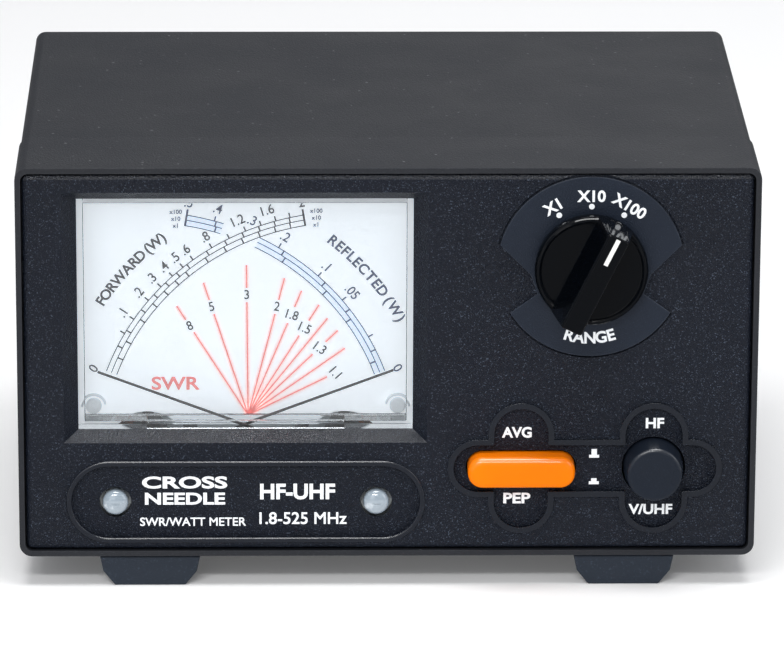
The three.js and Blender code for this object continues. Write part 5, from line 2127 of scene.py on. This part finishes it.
# ------------------------------------------------------------------ rear connectors
@dataclass(frozen=True)
class RearConnectors:
    """Four coaxial sockets, the supply jack and the electronics behind them."""

    flange_corner: float = 1.5 * MM
    flange_edge: float = 0.25 * MM
    thread_pitch: float = 1.06 * MM
    thread_depth: float = 0.42 * MM
    flange_height: float = 2.3 * MM
    flange_gap: float = 0.3 * MM
    barrel: float = 7.95 * MM
    barrel_sink: float = 0.5 * MM
    plain: float = 1.0 * MM
    thread_end: float = 0.6 * MM
    thread: tuple[Pair, ...] = ((0, 0.38), (0, 0.55), (1, 0.95))
    lip: Pair = (0.4 * MM, 0.45 * MM)
    bore: float = 5.75 * MM
    bore_mouth: float = 0.5 * MM
    bore_lead: float = 1.5 * MM
    soft_edge: float = 0.2 * MM
    contact_edge: float = 0.12 * MM
    hole_inset: float = 3.6 * MM
    screw: PanScrew = PanScrew(head=2.3 * MM, height=0.95 * MM, shank=1.1 * MM, reach=1.9 * MM,
                               slot_width=0.5 * MM, slot_depth=0.55 * MM)
    word_cap: float = 2.2 * MM
    word_lift: float = 16.2 * MM
    band_cap: float = 2.8 * MM
    band_lift: float = 22.0 * MM
    supply_drop: float = 10.5 * MM
    names: tuple[str, ...] = ("hf_input", "hf_antenna", "uhf_input", "uhf_antenna")

    def build(self) -> None:
        """Builds the sockets, the jack and the rear legends, and finishes what is inside."""
        first = self.names[0]
        shell = self.socket(f"socket_shell_{first}", f"socket_{first}")
        insulator = refined(f"socket_insulator_{first}", f"insulator_{first}", self.soft_edge)
        contact = refined(f"socket_contact_{first}", f"contact_{first}", self.contact_edge)
        screws = self.flange_screws(first)
        parts = (
            (shell, "shell", "socket", NICKEL, "nickel"),
            (insulator, "insulator", "insulator", PTFE, "ptfe"),
            (contact, "contact", "contact", SILVER, "silver_contact"),
        )
        for name in self.names[1:]:
            shift = middle(f"socket_{name}") - middle(f"socket_{first}")
            for part, kind, node, finish, slot in parts:
                dress(copied(part, f"socket_{kind}_{name}", shift), finish, slot, f"{node}_{name}")
            for index, screw in enumerate(screws):
                dress(copied(screw, f"flange_screw_{name}_{index}", shift), NICKEL, "nickel")
        for part, _, node, finish, slot in parts:
            dress(part, finish, slot, f"{node}_{first}")
        for screw in screws:
            dress(screw, NICKEL, "nickel")
        jack = refined("supply_jack", "dc_jack", self.soft_edge)
        dress(jack, SWITCH, "switch_plastic", "dc_jack")
        self.build_legends()
        for band in ("hf", "uhf"):
            carry(f"{band}_coupler_box", NICKEL)
        carry("main_board", BOARD)

    def socket(self, name: str, node: str) -> Object:
        """A square flange with a threaded barrel and an open bore.

        Args:
            name: the new piece's name.
            node: the CAD node.

        Returns:
            The shell.
        """
        low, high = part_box(node)
        centre = (low + high) / 2
        flange_half = (high.x - low.x) / 2
        flange_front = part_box("rear_panel")[1].y
        flange_rear = flange_front + self.flange_height
        shell = rounded_block(
            name, (low.x, flange_front + self.flange_gap, centre.z - flange_half),
            (high.x, flange_rear, centre.z + flange_half), self.flange_corner, steps=6,
        )
        softened(shell, self.flange_edge)
        root = self.barrel - self.thread_depth
        length = high.y - flange_rear
        start = self.plain
        rows = [(root, -self.barrel_sink), (root, start)]
        while start + self.thread_pitch < length - self.thread_end:
            rows += [(self.barrel - cut * self.thread_depth, start + share * self.thread_pitch)
                     for cut, share in self.thread]
            start += self.thread_pitch
        inset, back = self.lip
        rows += [(root, length - back), (root - inset, length)]
        foot = Vector((centre.x, flange_rear, centre.z))
        merge(shell, turned("barrel", foot, BACKWARD, rows, sides=64), Merge.ADD)
        mouth = self.bore + self.bore_mouth
        bore = turned("bore", Vector((centre.x, high.y + MM, centre.z)), FORWARD, [
            (mouth, 0), (mouth, MM), (self.bore, self.bore_lead), (self.bore, high.y + 2 * MM - low.y),
        ])
        merge(shell, bore, Merge.CUT)
        return smooth(shell)

    def flange_screws(self, name: str) -> list[Object]:
        """The four screws in one flange.

        Args:
            name: the socket's name.

        Returns:
            The screws.
        """
        low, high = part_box(f"socket_{name}")
        centre = (low + high) / 2
        reach = (high.x - low.x) / 2 - self.hole_inset
        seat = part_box("rear_panel")[1].y + self.flange_height
        places = [
            Vector((centre.x + x * reach, seat, centre.z + z * reach)) for x in (-1, 1) for z in (-1, 1)
        ]
        first = self.screw.build(f"flange_screw_{name}_0", places[0], BACKWARD)
        return [first] + [
            copied(first, f"flange_screw_{name}_{index}", place - places[0])
            for index, place in enumerate(places[1:], start=1)
        ]

    def build_legends(self) -> None:
        """White words on the rear plate."""
        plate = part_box("rear_panel")[1].y
        printer = Printer(plate, bold=0.012, facing_back=True)
        words = []
        for name, word in zip(self.names, ("INPUT", "ANTENNA", "INPUT", "ANTENNA")):
            place = middle(f"socket_{name}")
            words.append(Legend(word, self.word_cap, place.x, place.z + self.word_lift))
        for pair, word in ((self.names[:2], "HF"), (self.names[2:], "V/UHF")):
            first, second = (middle(f"socket_{name}") for name in pair)
            x = (first.x + second.x) / 2
            words.append(Legend(word, self.band_cap, x, first.z + self.band_lift))
        jack = middle("dc_jack")
        words.append(Legend("DC 13.8V", self.word_cap, jack.x, jack.z - self.supply_drop))
        dress(printer.sheet("rear_words", words), WHITE_INK, "white_inlay")


# ------------------------------------------------------------------ studio
@dataclass(frozen=True)
class Softbox:
    """A rectangular soft light that looks at the part."""

    name: str
    place: tuple[float, float, float]
    size: Pair
    power: float

    def build(self, target: Vector) -> None:
        """Hangs the light and turns it to the target.

        Args:
            target: what the light looks at.
        """
        only()
        bpy.ops.object.light_add(type="AREA", location=self.place)
        lamp = bpy.context.object
        lamp.name = self.name
        lamp.data.shape = "RECTANGLE"
        lamp.data.size, lamp.data.size_y = self.size
        lamp.data.energy = self.power
        lamp.rotation_euler = (target - lamp.location).to_track_quat("-Z", "Y").to_euler()


@dataclass(frozen=True)
class Studio:
    """A pale floor, soft lights and the camera."""

    floor_size: float = 6.0
    sensor: float = 36.0
    lens: float = 278.18
    camera_place: tuple[float, float, float] = (-0.02284, -1.26185, 0.43875)
    target: tuple[float, float, float] = (0.000828, -0.0564, 0.05835)
    roll: float = 0.245
    sky: float = 0.32
    boxes: tuple[Softbox, ...] = (
        Softbox("overhead_box", (0.0, -0.2, 1.1), (0.7, 0.4), 8.5),
        Softbox("front_box", (-0.2, -1.0, 0.86), (0.7, 0.14), 6.5),
        Softbox("fill_box", (-0.6, -1.5, 0.6), (0.9, 0.9), 2.6),
        Softbox("side_box", (1.2, -0.5, 0.6), (0.6, 0.8), 2.2),
        Softbox("rear_box", (0.4, 1.3, 0.8), (0.9, 0.7), 2.5),
    )

    def build(self) -> None:
        """Lays the floor, hangs the lights and stands the camera."""
        only()
        bpy.ops.mesh.primitive_plane_add(size=self.floor_size)
        floor = settled("studio_floor")
        paper = Ink("pale_floor", (246, 246, 246), glow=0.1)
        floor.data.materials.append(paper.material())
        target = Vector(self.target)
        for box in self.boxes:
            box.build(target)
        world = bpy.context.scene.world or bpy.data.worlds.new("studio")
        bpy.context.scene.world = world
        world.use_nodes = True
        background = world.node_tree.nodes["Background"].inputs
        background["Color"].default_value = (0.93, 0.95, 1.0, 1.0)
        background["Strength"].default_value = self.sky
        self.build_camera(target)

    def build_camera(self, target: Vector) -> None:
        """Stands the camera a little to the left and above, rolled very slightly.

        Args:
            target: what the camera looks at.
        """
        only()
        bpy.ops.object.camera_add(location=self.camera_place)
        camera = bpy.context.object
        camera.name = "studio_camera"
        forward = (target - camera.location).normalized()
        right = forward.cross(UPWARD).normalized()
        up = right.cross(forward)
        turn = math.radians(self.roll)
        rolled_right = right * math.cos(turn) + up * math.sin(turn)
        rolled_up = up * math.cos(turn) - right * math.sin(turn)
        axes = Matrix((rolled_right, rolled_up, -forward)).transposed()
        camera.rotation_euler = axes.to_euler()
        camera.data.lens = self.lens
        camera.data.sensor_width = self.sensor
        camera.data.clip_end = 20.0
        bpy.context.scene.camera = camera


def main() -> None:
    """Builds the part's looks around its frame, and the studio around the part."""
    logging.basicConfig(level=logging.INFO, format="%(name)s: %(message)s")
    for leftover in list(bpy.data.objects):
        bpy.data.objects.remove(leftover)
    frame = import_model()
    Case().build()
    FrontPanel().build()
    Meter(tuple(frame["joints"])).build()
    RangeSelector().build()
    PushKeys().build()
    RearConnectors().build()
    Studio().build()
    bpy.context.scene.view_settings.view_transform = "Standard"


if __name__ == "__main__":
    main()
